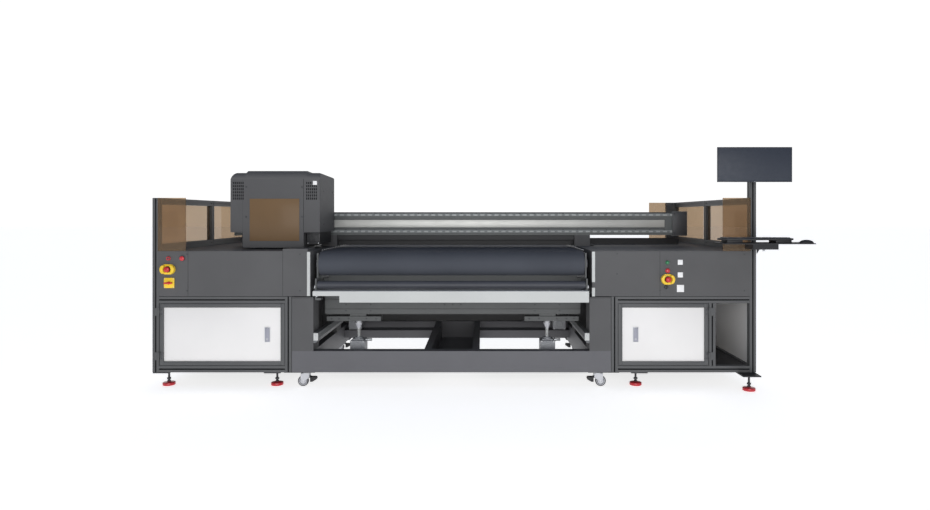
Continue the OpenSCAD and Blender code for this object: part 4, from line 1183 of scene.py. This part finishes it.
def keyboard_tray():
    """The thin tray with rounded corners, and the arm block and pin that it swivels on."""
    x0, x1 = TRAY_LOW.x, TRAY_HIGH.x
    corner = 20
    corners = ((x0 + corner, TRAY_FRONT + corner, 180), (x1 - corner, TRAY_FRONT + corner, 270),
               (x1 - corner, TRAY_BACK - corner, 0), (x0 + corner, TRAY_BACK - corner, 90))
    board = []
    for x, y, start in corners:
        board += arc(x, y, corner, start, start + 90, 6)
    tray = Shape("keyboard_tray_board")
    tray.outline(board, "xy", TRAY_Z, TRAY_Z + TRAY_THICKNESS, "near_black", 1.2, 2)
    tray.box((TRAY_PIVOT_X - 45, TRAY_PIVOT_X + 45), (TRAY_BACK - 60, TRAY_PIVOT_Y + 20),
             (TRAY_Z - 5.7, TRAY_Z + 0.4), "dark", 1.0)
    tray.rod(at(TRAY_PIVOT_X, TRAY_PIVOT_Y, TRAY_Z - 58), UP, 7.95, 0, 60, "steel", 0.8, 32)
    tray.done("keyboard_tray", "black_plastic", "keyboard_tray")


def keyboard_keys(keyboard):
    """Six rows of separate keys, from the user to the back."""
    for number, (row, inset) in enumerate(KEY_ROWS):
        y = KEYBOARD_FRONT + 11 + number * ROW_PITCH
        x = KEYBOARD_LEFT + inset
        for width in row:
            if width > GAP_LIMIT and x + width < KEYBOARD_RIGHT - inset + 2:
                keyboard.box((x + 1, x + width - 1), (y, y + KEY_DEPTH),
                             (KEYBOARD_Z + 11, KEYBOARD_Z + 17.8), "blue_black", 1.8)
            x += width


def keyboard():
    """A full-size keyboard with round ends, on two risers."""
    middle = (KEYBOARD_FRONT + KEYBOARD_BACK) / 2
    half = (KEYBOARD_BACK - KEYBOARD_FRONT) / 2
    body = (arc(KEYBOARD_RIGHT - half, middle, half, -90, 90, 14)
            + arc(KEYBOARD_LEFT + half, middle, half, 90, 270, 14))
    board = Shape("keyboard")
    board.outline(body, "xy", KEYBOARD_Z, KEYBOARD_Z + 12, "black_plastic", 3.0, 3)
    for x in (TRAY_LOW.x + 26, TRAY_LOW.x + 343):
        board.box((x, x + 103), (KEYBOARD_FRONT + 20, KEYBOARD_BACK - 20),
                  (TRAY_Z + 6.2, KEYBOARD_Z + 0.4), "near_black", 2)
    keyboard_keys(board)
    board.done("keyboard_tray", "black_plastic", "keyboard_and_mouse")


def mouse():
    """A half-egg body with a wheel in its top."""
    x, y, z = TRAY_LOW.x + 548, TRAY_FRONT + 45, TRAY_Z
    half_length, half_width, height = 47, 28.5, 21.6
    part = bmesh.new()
    bmesh.ops.create_uvsphere(part, u_segments=40, v_segments=24, radius=1.0)
    for v in part.verts:
        v.co.x *= half_length
        v.co.y *= half_width
        v.co.z = max(v.co.z, 0.0) * height
    bmesh.ops.remove_doubles(part, verts=part.verts, dist=0.05)
    bmesh.ops.transform(part, matrix=Matrix.Translation(at(x, y, z + 6.3)) @ Matrix.Scale(MM, 4),
                        verts=part.verts)
    bmesh.ops.recalc_face_normals(part, faces=part.faces)
    body = Shape("mouse")
    body.absorb(part, "black_plastic")
    wheel = [(0, 0), (6.4, 0), (7.4, 1), (7.4, 5), (6.4, 6), (0, 6)]
    body.turned(at(x - 22, y - 3, z + 18), BACK, wheel, "blue_black", 32)
    body.done("keyboard_tray", "black_plastic")


# -------- stage, light and camera

FLOOR_HALF = 60.0
FLOOR_DARK = (0.86, 0.85, 0.83)
FLOOR_LIGHT = (0.88, 0.87, 0.85)
FLOOR_GLOW = 0.72
BACKDROP_WHITE = (1.05, 1.05, 1.05)
ROOM_GREY = (0.36, 0.355, 0.35)
ROOM_BLUE = (0.17, 0.2, 0.27)
PANEL_PLACE = Vector((0.2, -8.0, 1.5))
PANEL_AIM = Vector((0.0, 0.0, 1.0))


def link(obj):
    """Puts an object into the scene."""
    bpy.context.scene.collection.objects.link(obj)
    return obj


def floor():
    """A large pale floor that glows a little, so that it runs into the white behind."""
    size = FLOOR_HALF
    mesh = bpy.data.meshes.new("floor")
    corners = [(-size, -size, 0), (size, -size, 0), (size, size, 0), (-size, size, 0)]
    mesh.from_pydata(corners, [], [(0, 1, 2, 3)])
    material, tree, shader = new_material("floor_white")
    drift = ramp(tree, noise(tree, 0.4), 0, 1)
    tree.links.new(shades(tree, drift, FLOOR_DARK, FLOOR_LIGHT), shader.inputs["Base Color"])
    shader.inputs["Roughness"].default_value = 0.9
    shader.inputs["Emission Color"].default_value = (1, 1, 1, 1)
    shader.inputs["Emission Strength"].default_value = FLOOR_GLOW
    mesh.materials.append(material)
    link(bpy.data.objects.new("floor", mesh))


def surround():
    """White light from straight behind the machine only, and a dim room elsewhere, bluer above."""
    world = bpy.data.worlds.new("studio")
    world.use_nodes = True
    tree = world.node_tree
    background = next(n for n in tree.nodes if n.type == "BACKGROUND")
    coords = tree.nodes.new("ShaderNodeTexCoord")
    split = tree.nodes.new("ShaderNodeSeparateXYZ")
    tree.links.new(coords.outputs["Generated"], split.inputs["Vector"])
    behind = ramp(tree, split.outputs["Y"], 0.0, 1.0, 0.69, 0.735)
    overhead = ramp(tree, split.outputs["Z"], 0.0, 1.0, 0.1, 0.7)
    room = shades(tree, overhead, ROOM_GREY, ROOM_BLUE)
    light = shades(tree, behind, ROOM_GREY, BACKDROP_WHITE)
    tree.links.new(room, light.node.inputs["A"])
    tree.links.new(light, background.inputs["Color"])
    bpy.context.scene.world = world


def front_panel():
    """One broad soft lamp in front of the machine."""
    lamp = bpy.data.lights.new("front_panel", "AREA")
    lamp.shape = "RECTANGLE"
    lamp.size = 6.0
    lamp.size_y = 4.0
    lamp.energy = 245.0
    holder = link(bpy.data.objects.new("front_panel", lamp))
    holder.location = PANEL_PLACE
    holder.rotation_euler = (PANEL_AIM - PANEL_PLACE).to_track_quat("-Z", "Y").to_euler()


def camera():
    """Level view from the front, right of the middle, at carriage height."""
    eye = bpy.data.cameras.new("camera")
    eye.lens = 24.33
    eye.sensor_width = 36.0
    eye.shift_x = -0.0182796
    eye.shift_y = -0.0430108
    eye.clip_end = 200
    holder = link(bpy.data.objects.new("camera", eye))
    holder.location = at(214, -4400, 1220)
    holder.rotation_euler = (math.radians(90), 0, 0)
    bpy.context.scene.camera = holder


# -------- assembly

for node, (material, edge) in CAD_LOOKS.items():
    coat_node(node, material, edge)
gantry_rails()
gantry_band()
gantry_end_cover()
gantry_joint_screws()
carriage_shell()
carriage_window()
carriage_fixings()
print_lamps()
door("left")
door("right")
panel_details()
corner_angles()
levelling_feet()
for end in ("front", "rear"):
    for side in ("left", "right"):
        castor(end, side)
jacks()
controls()
side_guides()
roll_arm_caps()
front_fittings()
beam_bolts()
front_bar_screws()
monitor_unit()
monitor_arm_fixings()
keyboard_tray()
keyboard()
mouse()
slot_shade_lines()

floor()
surround()
front_panel()
camera()
bpy.context.scene.view_settings.view_transform = "Standard"
